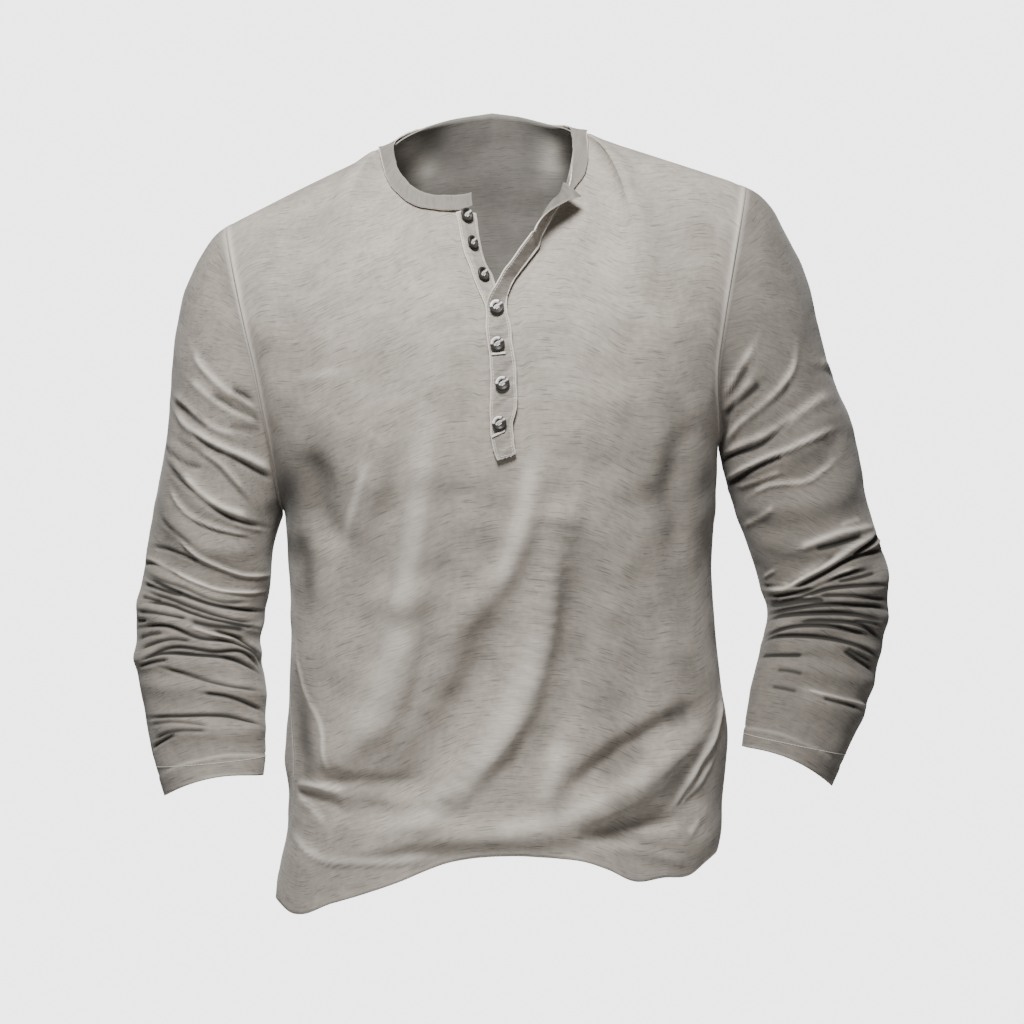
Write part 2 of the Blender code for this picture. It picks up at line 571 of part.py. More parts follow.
def sleeve_grid(front, back, side):
    """Grid of a sleeve: columns round the arm, rings from the armhole to the cuff."""
    loop, runs = armhole(front, back, side)
    half = len(loop) // 2
    step = np.linalg.norm(np.roll(loop, -1, axis=0) - loop, axis=1)
    down, up = np.cumsum(step[:half]), np.cumsum(step[half:])
    around = pi * np.concatenate([[0], down / down[-1], 1 + up[:-1] / up[-1]])

    rings = []
    for ring in SLEEVES[side]:
        outer = np.array([ring.outer_x, ring.y, ring.outer_z])
        inner = np.array([ring.inner_x, ring.y, ring.inner_z])
        centre, axis = (outer + inner) / 2, (outer - inner) / 2
        depth = np.array([0, -ring.depth, 0])
        rings.append(centre + np.cos(around)[:, None] * axis + np.sin(around)[:, None] * depth)
    rings[-1] = rings[-1] + np.sin(around)[:, None] ** 2 * np.array([0, 0, CUFF_ARCH])

    sideways = np.array([side * 1.0, 0, 0.1])
    under = ease(1 - np.abs(around - pi) / UNDERARM_ANGLE)[:, None]
    leave = unit(runs * (1 - under) + sideways * under)
    start = loop + leave * SLEEVE_SEAM_GAP
    knots = np.stack([start] + rings)
    chords = np.linalg.norm(np.diff(knots, axis=0), axis=-1)
    lengths = np.concatenate([[0], np.cumsum(chords.mean(axis=1))])
    slope = leave * (chords[0] / lengths[1])[:, None]
    first = FIRST_RING / lengths[-1]
    places = np.concatenate([[0, first], np.linspace(first, 1, SLEEVE_RINGS)[1:]])
    grid = np.swapaxes(spline(places * lengths[-1], lengths, knots, slope), 0, 1)

    run = np.gradient(grid, axis=1)
    turned = (np.roll(grid, -1, axis=0) - np.roll(grid, 1, axis=0)) / 2
    normals = unit(np.cross(turned, run)) * side
    height = np.zeros(grid.shape[:2])
    for crease in CREASES[side]:
        angle = (np.degrees(around) - crease.middle + 180) % 360 - 180
        window = ease(CREASE_STEEPNESS * (1 - np.abs(angle) / crease.reach) - 0.4)[:, None]
        place = spline(np.abs(np.degrees(around) % 360 - 180) / 90,
                       (0, 1, 2), (crease.inner, crease.front, crease.outer))
        gap = (places[None, :] - place[:, None]) * lengths[-1]
        height += crease.height * window * np.exp(-(gap / crease.width) ** 2)
    height *= ease((places - SLEEVE_HEAD) / SLEEVE_HEAD) * ease((1 - places) / CUFF_SHARE)
    return grid + normals * height[..., None]


# ---- placket ------------------------------------------------------------------------------
def panel_surface(halves):
    """Search tree over the outer faces of the panels, to lay the trims on them."""
    points, faces = [], []
    for grid in halves:
        rows, columns = grid.shape[:2]
        faces += grid_faces(rows, columns, len(points), False)
        points += [tuple(p) for p in grid.reshape(-1, 3)]
    return BVHTree.FromPolygons(points, faces)


class Edge:
    """A slit edge of the front: its points, outward normals and the way into the slit."""

    def __init__(self, grid, side):
        rows = slice(HEM_ROWS, None)
        self.points = grid[-1, rows].copy()
        edge_name = "under" if side < 0 else "over"
        self.points[0, 0] = read(SLITS, edge_name, self.points[0, 2])
        self.normals = half_normals(grid, side, "front")[-1, rows].copy()
        self.normals[0] = self.normals[1]
        along = np.gradient(self.points, axis=0)
        self.ways = unit(np.cross(along, self.normals)) * -side
        foot = self.points[0] - unit(self.points[1] - self.points[0]) * PLACKET_FOOT
        self.points = np.concatenate([[foot], self.points])
        self.normals = np.concatenate([self.normals[:1], self.normals])
        self.ways = np.concatenate([self.ways[:1], self.ways])
        self.z = self.points[:, 2]
        steps = np.linalg.norm(np.diff(self.points, axis=0), axis=1)
        self.below_top = np.concatenate([[0], np.cumsum(steps[::-1])])[::-1]

    def at(self, z):
        """Point, normal and way at the given height, straight between the panel's rows."""
        parts = [np.stack([np.interp(z, self.z, part[:, axis]) for axis in range(3)], -1)
                 for part in (self.points, self.normals, self.ways)]
        return parts[0], unit(parts[1]), unit(parts[2])

    def height(self, distance):
        """Height of the point that lies the given distance along the edge below its top."""
        return np.interp(distance, self.below_top[::-1], self.z[::-1])


def strip_point(own, other, z, across, lift, lean_name):
    """Point of a placket strip: across is measured from its sewn side, lift off the panel.

    Below the break the strip bridges the slit; above it the strip leans from its own edge.
    """
    point, normal, way = own.at(z)
    far, far_normal, _ = other.at(z)
    way_sign = 1 if lean_name == "over" else -1
    lean = way_sign * np.radians(read(LEANS, lean_name, z))[..., None]
    d = (across - PLACKET_LAP)[..., None]
    flat, free = np.minimum(d, PLACKET_BEND), np.maximum(d - PLACKET_BEND, 0)
    curl = np.where(free > 0, lean, 0)
    leaned = (point + way * (flat + free * np.cos(curl)) + normal * free * np.sin(curl)
              + (normal * np.cos(curl) - way * np.sin(curl)) * lift[..., None])
    width = np.linalg.norm(far - point, axis=-1, keepdims=True)
    share = d / width
    bridged = (point + (far - point) * share
               + unit(normal * (1 - share) + far_normal * share) * lift[..., None])
    closed = ease((PLACKET_BREAK - z) / BREAK_LENGTH + 1 / 3)[..., None]
    return bridged * closed + leaned * (1 - closed)


def strip_grid(own, other, lift, lean_name):
    """Grid of a strip, from its foot below the slit up to the neckband.

    It is laid on the cloth beside the slit, on the far side too where the slit is closed.
    """
    z = np.linspace(own.z[0], own.height(BAND_WIDTH + BAND_END_GAP), PLACKET_ROWS)
    bend = PLACKET_LAP + PLACKET_BEND
    across = np.concatenate([[0], np.linspace(bend, STRIP_WIDTH[lean_name], PLACKET_COLUMNS)])
    zz, aa = np.meshgrid(z, across, indexing="ij")
    grid = strip_point(own, other, zz, aa, np.full_like(zz, lift), lean_name)
    widths = np.linalg.norm(other.at(z)[0] - own.at(z)[0], axis=-1, keepdims=True)
    closed = z[:, None] < PLACKET_BREAK - BREAK_LENGTH
    beside = (across < PLACKET_LAP) | (closed & (across - PLACKET_LAP > widths))
    for row, column_number in zip(*np.nonzero(beside)):
        normal = own.at(z[row])[1]
        grid[row, column_number] = laid(panels, grid[row, column_number], normal, lift)
    return grid


def laid(panels, point, normal, lift):
    """The point moved out to the given lift over the nearest panel, if it lies lower."""
    spot, facing = panels.find_nearest(Vector(point))[:2]
    facing = np.array(facing) * np.sign(np.dot(facing, normal))
    way = unit(facing + normal)
    gap = np.dot(point - np.array(spot), facing)
    return point + way * max(lift - gap, 0.0)


# ---- neckband -----------------------------------------------------------------------------
def neck_stations(grid, side, face):
    """Neckline points and outward normals of a half panel, from the neck point to the centre."""
    stations = slice(SHOULDER_COLUMNS, None)
    return grid[stations, -1], half_normals(grid, side, face)[stations, -1]


def with_midpoints(line):
    """The line's points with the middle of each stretch added."""
    dense = np.repeat(line, 2, axis=0)[:-1]
    dense[1::2] = (line[:-1] + line[1:]) / 2
    return dense


def band_frames(edges):
    """Points round the neckline, from the under edge to the over edge, with the directions there.

    Each has an outward normal and a direction down the panels, both evened out round the neck.
    Over the last stations the band turns down along the slit.
    """
    right_front = [part[::-1] for part in neck_stations(fronts[-1], -1, "front")]
    right_back = [part[1:] for part in neck_stations(backs[-1], -1, "back")]
    left_back = [part[-2:0:-1] for part in neck_stations(backs[1], 1, "back")]
    left_front = neck_stations(fronts[1], 1, "front")
    walk = (right_front, right_back, left_back, left_front)
    tops = with_midpoints(np.concatenate([part[0] for part in walk]))
    normals = unit(with_midpoints(np.concatenate([part[1] for part in walk])))
    down = unit(np.cross(np.gradient(tops, axis=0), normals))
    inward = np.sum(down * tops * (1, 1, 0), axis=1, keepdims=True) < 0
    down = np.where(inward, -down, down)
    for _ in range(BAND_SMOOTHING):
        normals[1:-1] = unit(normals[:-2] + normals[1:-1] + normals[2:])
        down[1:-1] = unit(down[:-2] + down[1:-1] + down[2:])
    corner = len(tops) - CORNER_STATIONS
    along_slit = unit(edges[1].points[-2] - edges[1].points[-1])
    turned = ease(np.arange(CORNER_STATIONS) / (CORNER_STATIONS - 1))[:, None]
    down[corner:] = unit(down[corner] * (1 - turned) + along_slit * turned)
    return tops, normals, down


def band_grid(edges, lift):
    """Neckband: stations round the neckline, each with points down the panels.

    The band is evened out along its length and laid on the panels in turn, so that it bridges
    the shoulder seams. Both ends run on over the placket, and lean with it.
    """
    drops = np.linspace(0, BAND_WIDTH, BAND_ROWS + 1)
    tops, normals, down = band_frames(edges)
    station = np.arange(len(tops))
    neck_points = (2 * NECK_COLUMNS, len(tops) - 1 - 2 * NECK_COLUMNS)
    freer = sum(np.exp(-((station - neck) / SHOULDER_STATIONS) ** 2) for neck in neck_points)
    lifts = (lift + SHOULDER_LIFT * freer)[1:-1]
    normals = normals[1:-1]
    body = (tops[:, None] + down[:, None] * drops[:, None])[1:-1]
    for turn in range(BAND_SMOOTHING):
        if turn > 0:
            body[1:-1] = (body[:-2] + body[1:-1] * 2 + body[2:]) / 4
        for row, normal, rise in zip(body, normals, lifts):
            row[:] = [laid(panels, point, normal, rise) for point in row]
    ends = []
    for edge, other, lean_name in ((edges[-1], edges[1], "under"), (edges[1], edges[-1], "over")):
        heights = edge.height(drops)
        for across in np.linspace(PLACKET_LAP, STRIP_WIDTH[lean_name], PLACKET_COLUMNS):
            widths = np.full_like(heights, across)
            even = np.full_like(heights, lift)
            ends.append(strip_point(edge, other, heights, widths, even, lean_name))
    return np.concatenate([np.array(ends[:PLACKET_COLUMNS])[::-1], body,
                           np.array(ends[PLACKET_COLUMNS:])])


# ---- buttons ------------------------------------------------------------------------------
def button(name, place, normal):
    """Turned button: a short thread shank, a flat back, a round rim and a dished top."""
    profile = [(r * BUTTON_RADIUS, SHANK_LENGTH + h * BUTTON_HEIGHT) for r, h in BUTTON_PROFILE]
    profile += [(SHANK_RADIUS, SHANK_LENGTH), (SHANK_RADIUS, 0.0), (0.0, 0.0)]
    mesh = bpy.data.meshes.new(name)
    mesh.from_pydata([(r, 0.0, h) for r, h in profile],
                     [(i, i + 1) for i in range(len(profile) - 1)], [])
    obj = new_object(name, mesh, BUTTON_COLOR, 0.25)
    screw = obj.modifiers.new("turn", "SCREW")
    screw.steps = BUTTON_STEPS
    screw.render_steps = BUTTON_STEPS
    screw.use_merge_vertices = True
    screw.merge_threshold = 0.00001
    obj.rotation_mode = "QUATERNION"
    obj.rotation_quaternion = Vector(normal).to_track_quat("Z", "Y")
    obj.location = Vector(place)
    return obj


def buttons():
    """Seven buttons down the middle of the placket, each square to the strip it sits on."""
    for number, height in enumerate(BUTTON_HEIGHTS, start=1):
        if number <= OPEN_BUTTONS:
            own, other, name, lift = edges[-1], edges[1], "under", UNDER_LIFT
        else:
            own, other, name, lift = edges[1], edges[-1], "over", OVER_LIFT
        z, middle = np.array(height), np.array(STRIP_WIDTH[name] / 2)
        strip = strip_point(own, other, z, middle, np.array(lift), name)
        seat = strip_point(own, other, z, middle, np.array(lift + BUTTON_GAP), name)
        button(f"button_{number}", seat, unit(seat - strip))


# ---- build --------------------------------------------------------------------------------
for old in list(bpy.data.objects):
    bpy.data.objects.remove(old, do_unlink=True)
collection = bpy.data.collections.new("henley_shirt")
bpy.context.scene.collection.children.link(collection)

fronts = {side: panel_half(side, "front") for side in (-1, 1)}
backs = {side: panel_half(side, "back") for side in (-1, 1)}
for halves in (fronts, backs):
    seam = (halves[-1][-1] + halves[1][-1]) / 2
    rows = slice(0, HEM_ROWS + 1) if halves is fronts else slice(None)
    halves[-1][-1, rows] = seam[rows]
    halves[1][-1, rows] = seam[rows]

sleeves = {side: sleeve_grid(fronts[side], backs[side], side) for side in (-1, 1)}
edges = {side: Edge(fronts[side], side) for side in (-1, 1)}
panels = panel_surface([*fronts.values(), *backs.values()])
band = band_grid(edges, BAND_LIFT)
under = strip_grid(edges[-1], edges[1], UNDER_LIFT, "under")
over = strip_grid(edges[1], edges[-1], OVER_LIFT, "over")
for grid in (*fronts.values(), *backs.values()):
    trim_edges(grid)

cloth("front", [fronts[-1], fronts[1]], [False, True], JERSEY_COLOR)
cloth("back", [backs[-1], backs[1]], [True, False], JERSEY_COLOR)
cloth("sleeve_right", [sleeves[-1]], [True], JERSEY_COLOR, closed=True)
cloth("sleeve_left", [sleeves[1]], [False], JERSEY_COLOR, closed=True)
cloth("neckband", [band], [True], TRIM_COLOR, TRIM_WALL)
cloth("placket_under", [under], [True], TRIM_COLOR, TRIM_WALL)
cloth("placket_over", [over], [False], TRIM_COLOR, TRIM_WALL)
buttons()
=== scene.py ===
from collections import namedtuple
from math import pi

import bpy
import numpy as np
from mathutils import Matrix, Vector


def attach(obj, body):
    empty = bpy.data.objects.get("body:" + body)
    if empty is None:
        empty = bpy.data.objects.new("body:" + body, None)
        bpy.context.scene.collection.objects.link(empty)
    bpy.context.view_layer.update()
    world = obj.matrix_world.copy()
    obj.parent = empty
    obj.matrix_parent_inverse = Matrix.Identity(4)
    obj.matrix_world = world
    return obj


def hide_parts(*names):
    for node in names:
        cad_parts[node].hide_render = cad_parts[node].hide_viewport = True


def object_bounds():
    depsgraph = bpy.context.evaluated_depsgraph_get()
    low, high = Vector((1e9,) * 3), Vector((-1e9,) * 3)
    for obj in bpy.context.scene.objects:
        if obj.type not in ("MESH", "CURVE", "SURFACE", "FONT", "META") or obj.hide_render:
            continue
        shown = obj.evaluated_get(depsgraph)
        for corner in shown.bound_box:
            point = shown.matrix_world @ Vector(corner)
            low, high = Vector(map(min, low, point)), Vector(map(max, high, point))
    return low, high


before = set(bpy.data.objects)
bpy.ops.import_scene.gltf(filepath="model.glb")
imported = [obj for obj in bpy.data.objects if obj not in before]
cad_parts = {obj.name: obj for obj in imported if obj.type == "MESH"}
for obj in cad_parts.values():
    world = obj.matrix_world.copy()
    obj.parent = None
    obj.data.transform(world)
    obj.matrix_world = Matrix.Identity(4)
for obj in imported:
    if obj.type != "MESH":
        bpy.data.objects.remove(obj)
cad_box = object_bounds()

# %% [markdown]
# # A long-sleeved henley shirt
#
# The real shirt is jersey: a front and a back joined at the shoulders and sides, two sleeves, a
# narrow neckband and a half placket of two strips with seven buttons. It stands hollow, as if worn.
#
# Every piece is worked out on a grid of two directions, such as "from the side to the middle" and
# "from the hem to the shoulder". Tables hold the few sizes that a pattern cutter would note, and
# smooth curves run through them. Each piece stands for one node of the packed frame and lies where
# that node lies.

box = [[round(c, 4) for c in corner] for corner in cad_box]
print("the frame's box:", box)

# %% [markdown]
# ## Sizes
# Lengths are in metres and come from the real shirt: a 13 mm shirt button, a 15 mm neckband and so
# on. Side -1 is the wearer's right, at the left of the picture, and side 1 is the wearer's left.

# %% Sizes of the cut
WALL = 0.0012             # jersey wall
TRIM_WALL = 0.0012        # doubled and pressed jersey of the neckband and the placket
SEAM_GAP = 0.0003         # between pieces that meet edge to edge
SIDE_SEAM_GAP = 0.0004    # the walls lean together a little at the side seams
SLEEVE_SEAM_GAP = 0.00036
SHOULDER_SEAM_GAP = 0.0008    # and more over the ridge of the shoulders
LAYER_GAP = 0.0005        # between a strip and what it lies on
ROUNDNESS = 2.4           # exponent of the torso's oval: 2 is an ellipse, more is squarer

CHEST_LEVEL = -0.200      # row across the chest where the armhole runs straight up
SLIT_BOTTOM = -0.2905     # lower end of the slit under the placket
ARMPIT_LEVEL = {-1: -0.3404, 1: -0.2806}    # by side: -1 the wearer's right, 1 the left
ARMHOLE_DEPTH = 0.068     # how far the armhole stands forward and back of the side line
HEM_OVAL_LEVEL = -0.680   # height of the oval from which the hem is spread
SLIT_PULL_START = 0.45    # share of the half front beyond which the cloth follows the slit
FOLD_MARGIN = 0.10        # the folds fade out over this share of a half panel at its side

BAND_WIDTH = 0.015        # neckband
STRIP_WIDTH = {"under": 0.0202, "over": 0.0235}
PLACKET_LAP = 0.003       # the strips lap over the panel's slit edge by this much
PLACKET_BEND = 0.0012     # and bend this far beyond it
BAND_END_GAP = 0.0012     # between the strips' upper ends and the neckband
PLACKET_FOOT = 0.0095     # and run on this far below the slit
BUTTON_RADIUS = 0.0065
BUTTON_HEIGHT = 0.0026
SHANK_LENGTH = 0.0008
BUTTON_GAP = 0.0007       # under the shank, on the bent strip
CUFF_ARCH = 0.009         # how much higher the cuff's front and back run than its sides
CUFF_HEM = 0.020          # the cuff's hem is turned up by this much
UNDER_LIFT = LAYER_GAP + TRIM_WALL          # outer side of the under strip off the panel
BAND_LIFT = TRIM_WALL + 0.0003              # of the neckband's outer side
SHOULDER_LIFT = 0.0003    # added where it crosses the shoulder seams
OVER_LIFT = 2 * (LAYER_GAP + TRIM_WALL)     # outer side of the over strip off the panel

# How fine the grids are: rows and columns of each stretch.
HEM_ROWS, ARMHOLE_ROWS, YOKE_ROWS = 112, 34, 48
SHOULDER_COLUMNS, NECK_COLUMNS = 48, 48
SLEEVE_RINGS = 190
CHEST_TANGENT = 1.997     # level just under the chest row (2), which gives its slope
print("half a panel:", HEM_ROWS + ARMHOLE_ROWS + YOKE_ROWS, "x", SHOULDER_COLUMNS + NECK_COLUMNS)

# %% [markdown]
# ## Tables
# A table has a line for each row and a column for each name of its kind. A stroke is a line across
# the cloth: its numbers come first and, after a bar, the places that it passes.

# %% Tables
MM = 1000                 # millimetres in a metre, for tables that are written in millimetres


def table(kind, text, unit=1):
    """Rows of a table: each line of the text has a number for each name of the kind."""
    return [kind(*(float(number) / unit for number in line.split()))
            for line in text.strip().splitlines()]


def strokes(kind, text):
    """Rows with a path of places x,z in millimetres after the kind's other numbers and a bar."""
    rows = []
    for line in text.strip().splitlines():
        numbers, path = line.split("|")
        places = [tuple(map(float, place.split(","))) for place in path.split()]
        rows.append(kind(places, *map(float, numbers.split())))
    return rows


def column(rows, name):
    """One named column of a table, as an array."""
    return np.array([getattr(row, name) for row in rows])


Step = namedtuple("Step", "at height")
print("a table of two rows:", table(Step, "0.0 1.5\n 2.0 2.5"))

# %% [markdown]
# ## Curves through a few values
# A pattern table has a row for each height where something changes. Between the rows the cloth runs
# smoothly, so every column is read as a cubic curve that passes through its values.

# %% Smooth curves
def spline(at, knots, values, first_slope=None):
    """Smooth curve through values at knots: cubic Hermite with finite-difference slopes."""
    knots = np.asarray(knots, float)
    values = np.asarray(values, float)
    slopes = np.gradient(values, knots, axis=0)
    if first_slope is not None:
        slopes[0] = first_slope
    at = np.clip(np.asarray(at, float), knots[0], knots[-1])
    k = np.clip(np.searchsorted(knots, at, side="right") - 1, 0, len(knots) - 2)
    span = knots[k + 1] - knots[k]
    f = (at - knots[k]) / span
    extra = (1,) * (values.ndim - 1)
    f = f.reshape(f.shape + extra)
    span = span.reshape(span.shape + extra)
    rise = f * f * (3 - 2 * f)
    return (values[k] * (1 - rise) + values[k + 1] * rise
            + slopes[k] * span * f * (1 - f) ** 2 - slopes[k + 1] * span * f * f * (1 - f))


def read(rows, name, at, by="z"):
    """A table's column read smoothly at the given heights."""
    return spline(at, column(rows, by), column(rows, name))


print("halfway between 0, 1 and 4 at 0, 1 and 2:", spline(1.5, (0, 1, 2), (0, 1, 4)))

# %% [markdown]
# ## Directions and distances
# Four small rules serve everywhere: a direction of length one, a soft step from 0 to 1, the length
# run along a line or along each row and column of a grid, and the normals of a grid.

# %% Directions and distances
def unit(v):
    """The same direction with a length of one."""
    return v / np.linalg.norm(v, axis=-1, keepdims=True)


def ease(f):
    """Soft step: 0 below 0, 1 above 1, and 3 f squared less 2 f cubed between them."""
    f = np.clip(f, 0, 1)
    return f * f * (3 - 2 * f)


def norm(v):
    """Lengths of vectors."""
    return np.linalg.norm(v, axis=-1)


def bell(gap, width):
    """1 where the gap is 0, falling off as e to the minus square of the gap in widths."""
    return np.exp(-(gap / width) ** 2)


def run_length(line):
    """Distance run along a line at each of its points: the sum of the steps up to it."""
    steps = np.linalg.norm(np.diff(line, axis=0), axis=1)
    return np.concatenate([[0], np.cumsum(steps)])


def from_side(grid):
    """Distance of each point from the panel's side edge, along its row."""
    steps = norm(np.diff(grid, axis=0))
    return np.concatenate([np.zeros((1, grid.shape[1])), np.cumsum(steps, axis=0)])


def from_hem(grid):
    """Distance of each point from the hem, up its column."""
    steps = norm(np.diff(grid, axis=1))
    return np.concatenate([np.zeros((grid.shape[0], 1)), np.cumsum(steps, axis=1)], axis=1)


def surface_normals(grid):
    """Unit normals of a grid of points, from the cross product of its two directions."""
    along = np.gradient(grid, axis=0)
    across = np.gradient(grid, axis=1)
    return unit(np.cross(across, along))


def tube_normals(grid, side):
    """Outward normals of a sleeve's grid, whose last column lies beside its first."""
    turned = (np.roll(grid, -1, axis=0) - np.roll(grid, 1, axis=0)) / 2
    return unit(np.cross(turned, np.gradient(grid, axis=1))) * side


print("ease at a quarter, a half and three quarters:", ease(np.array([0.25, 0.5, 0.75])))

# %% [markdown]
# ## The torso
# Seen from above, a filled shirt is an oval: flatter than an ellipse in front and rounder at the
# sides. One table holds that oval at fifteen heights. The side seams wander forward near the hem,
# as jersey that was cut a little off its grain twists in the wash, and the hem has a height of its
# own at each place across.

# %% Ovals, side seams and hem
# right and left are the oval's outermost x, mid its centre line, front and back its depth.
Oval = namedtuple("Oval", "z right left mid front back")
OVALS = table(Oval, """
  -720 -190 208 14 119 113
  -690 -190 210 14 119 114
  -664 -186 213 15 118 115
  -635 -180 219 16 116 115
  -605 -179 220 17 113 114
  -576 -181 223 18 112 111
  -546 -180 225 19 111 107
  -502 -178 219 19 113 102
  -443 -176 213 18 118 101
  -400 -178 210 18 125 104
-340.4 -183 213 18 136 113
  -304 -194 214 18 141 119
-280.6 -202 216 18 142 122
  -250 -213 222 17 140 125
  -200 -229 232 16 135 126
""", MM)

# The side seams leave the side line and swing forward near the hem: turn is the angle round
# the oval at which the seam runs, positive towards the front.
Swing = namedtuple("Swing", "z right left")
SWINGS = table(Swing, """
-0.720  2 4
-0.640  6 6
-0.575 20 5
-0.530 15 2
-0.470  3 0
-0.400  0 0
-0.280  0 0
-0.200  0 0
""")

# Hem height along the front and the back, by x.
Hem = namedtuple("Hem", "x front back")
HEMS = table(Hem, """
-190 -694 -694
-176 -703 -686
-135 -691 -680
 -84 -673 -672
 -34 -653 -668
  16 -647 -666
  66 -649 -664
  91 -652 -662
 116 -660 -660
 141 -671 -657
 167 -669 -653
 194 -667 -650
 212 -650 -650
""", MM)

print("rows: ovals", len(OVALS), "swings", len(SWINGS), "hem", len(HEMS))

# %% [markdown]
# Below the chest, a point of a panel is found from its share of the way from the side to the middle
# and from its level between the hem, the armpit and the chest: its height comes first, and the oval
# at that height says where it is.

# %% From the hem to the chest
def oval_point(turn, z, side, face):
    """Point of the oval at height z; turn is 0 at the side line and 90 degrees at the centre.

    A negative turn lies on the other face, so a seam may swing past the side line.
    """
    mid = read(OVALS, "mid", z)
    reach = np.abs(read(OVALS, "right" if side < 0 else "left", z) - mid)
    front, back = read(OVALS, "front", z), read(OVALS, "back", z)
    own, other = (front, back) if face == "front" else (back, front)
    depth = np.where(turn >= 0, own, other)
    x = mid + side * reach * np.cos(turn) ** (2 / ROUNDNESS)
    y = depth * np.sign(turn) * np.abs(np.sin(turn)) ** (2 / ROUNDNESS)
    return np.stack([x, -y if face == "front" else y, z + 0 * x], axis=-1)


def girth(u, level, side, face):
    """Panel point between the hem (level 0), the armpit (1) and the chest row (2)."""
    way = 1 if face == "front" else -1
    armpit = ARMPIT_LEVEL[side]
    swing_name = "right" if side < 0 else "left"
    edge_x = read(OVALS, swing_name, HEM_OVAL_LEVEL)
    centre_x = read(OVALS, "mid", HEM_OVAL_LEVEL)
    hem_x = centre_x + (edge_x - centre_x) * np.cos(u * pi / 2) ** (2 / ROUNDNESS)
    hem_z = read(HEMS, face, hem_x, by="x")
    armpit_row = armpit + (SLIT_BOTTOM - armpit) * ease(u)
    bend = np.clip(level - 1, 0, 1) * pi / 2
    edge_z = CHEST_LEVEL + (armpit - CHEST_LEVEL) * np.cos(bend)
    mid_z = SLIT_BOTTOM + (CHEST_LEVEL - SLIT_BOTTOM) * np.clip(level - 1, 0, 1)
    upper_z = edge_z + (mid_z - edge_z) * ease(u)
    lower_z = hem_z + (armpit_row - hem_z) * np.clip(level, 0, 1)
    z = np.where(level < 1, lower_z, upper_z)
    depth = read(OVALS, face, edge_z)
    edge_y = ARMHOLE_DEPTH * np.sin(bend)
    armhole_turn = np.arcsin((edge_y / depth) ** (ROUNDNESS / 2))
    swing = way * np.radians(read(SWINGS, swing_name, z))
    start = np.where(level < 1, swing, armhole_turn)
    turn = start + (pi / 2 - start) * u
    return oval_point(turn, z, side, face)


print("the middle of the hem:", girth(np.array([1.0]), np.array([0.0]), 1, "front")[0].round(3))

# %% [markdown]
# ## Shoulders and neckline
# The top of each panel is a fixed line: the shoulder seam to the neck point, then the neckline.
# From the chest row the cloth flows up to it in one curve, and arrives in the direction that the
# table of arrivals gives, over the shoulder or up at the neck.

# %% Shoulder seams, necklines and the slit
Point = namedtuple("Point", "x y z")
SHOULDER_TIP = {-1: Point(-0.2355, 0.0, -0.0800), 1: Point(0.2411, 0.0, -0.0435)}
SHOULDER_BOW = {-1: 0.0022, 1: 0.0015}      # how far the seam bows up in its middle
NECKLINE = {
    ("front", -1): table(Point, """
-83.7   0    -6
-79.5 -25 -26.2
-68.5 -50 -43.6
-51.5 -70 -57.5
-21.3 -86   -60
""", MM),
    ("front", 1): table(Point, """
  81   0   8.7
82.3 -22  -8.8
  80 -45 -27.5
76.2 -68   -50
""", MM),
    ("back", -1): table(Point, """
-83.7  0   -6
-74.7 14    3
-58.8 30 13.2
  -34 48 23.8
  7.9 61 32.3
""", MM),
    ("back", 1): table(Point, """
  81  0  8.7
74.9 22 14.2
58.5 44 20.5
  34 58 28.4
 7.9 61 32.3
""", MM),
}

# Direction in which the cloth arrives at the top row, by place along it: 0 the shoulder tip,
# 1 the neck point, 2 the centre. inward points from the side to the centre line, over points
# from the panel's own side over the shoulder. The left front is drawn aside, so its cloth
# arrives from the side (drawn).
Arrival = namedtuple("Arrival", "place inward over up drawn")
ARRIVALS = table(Arrival, """
0.0 0.00 1.00 0.03 0.00
0.7 0.00 1.00 0.03 0.00
1.0 0.50 0.85 0.05 0.60
1.4 0.45 0.60 0.65 1.60
2.0 0.00 0.40 0.90 1.30
""")

# Edges of the slit by height: closed below, then open as a V. under is the button side.
Slit = namedtuple("Slit", "z under over")
SLITS = table(Slit, """
-310    12 27.5
-280  10.5 26.5
-245     9   27
-210   9.5   27
-180     7   24
-160     5   21
-141    -2   25
-129  -6.5 32.5
-110   -13 45.5
 -83 -18.5   60
 -60 -21.3 73.5
 -50 -21.3 76.2
""", MM)

print("points of the necklines:", [len(line) for line in NECKLINE.values()], "slit:", len(SLITS))

# %% [markdown]
# The top row follows the shoulder seam and then the neckline. On the front, the columns near the
# middle move aside, so that the last one runs down the slit's edge.

# %% Top row and slit
def top_row(u, neck_u, side, face):
    """Shoulder seam from the tip to the neck point, then the neckline to the centre."""
    line = np.array(NECKLINE[face, side])
    steps = np.linalg.norm(np.diff(line, axis=0), axis=1)
    knots = np.concatenate([[0], np.cumsum(steps)]) / steps.sum()
    neck = spline(np.clip((u - neck_u) / (1 - neck_u), 0, 1), knots, line)
    tip = np.array(SHOULDER_TIP[side])
    along = np.clip(u / neck_u, 0, 1)[:, None]
    bow = np.array([0, 0, SHOULDER_BOW[side]])
    seam = tip + (line[0] - tip) * along + bow * 4 * along * (1 - along)
    return np.where((u < neck_u)[:, None], seam, neck)


def slit_shift(grid, u, side):
    """Moves the columns near the centre so that the last one runs along the slit's edge."""
    z = grid[-1, :, 2]
    edge = read(SLITS, "under" if side < 0 else "over", z)
    shift = np.where(z > SLIT_BOTTOM + SEAM_GAP, edge - grid[-1, :, 0], 0)
    pull = ease((u - SLIT_PULL_START) / (1 - SLIT_PULL_START))
    grid[:, :, 0] += pull[:, None] * shift[None, :]


print("the slit's edges at the top:", SLITS[-1].under, "and", SLITS[-1].over, "m from the middle")

# %% [markdown]
# ## Large folds
# A shirt that hangs from its shoulders falls in long soft folds. Each is a bell across a bent line,
# and the panel moves out or in by their sum. The frame has these folds too.

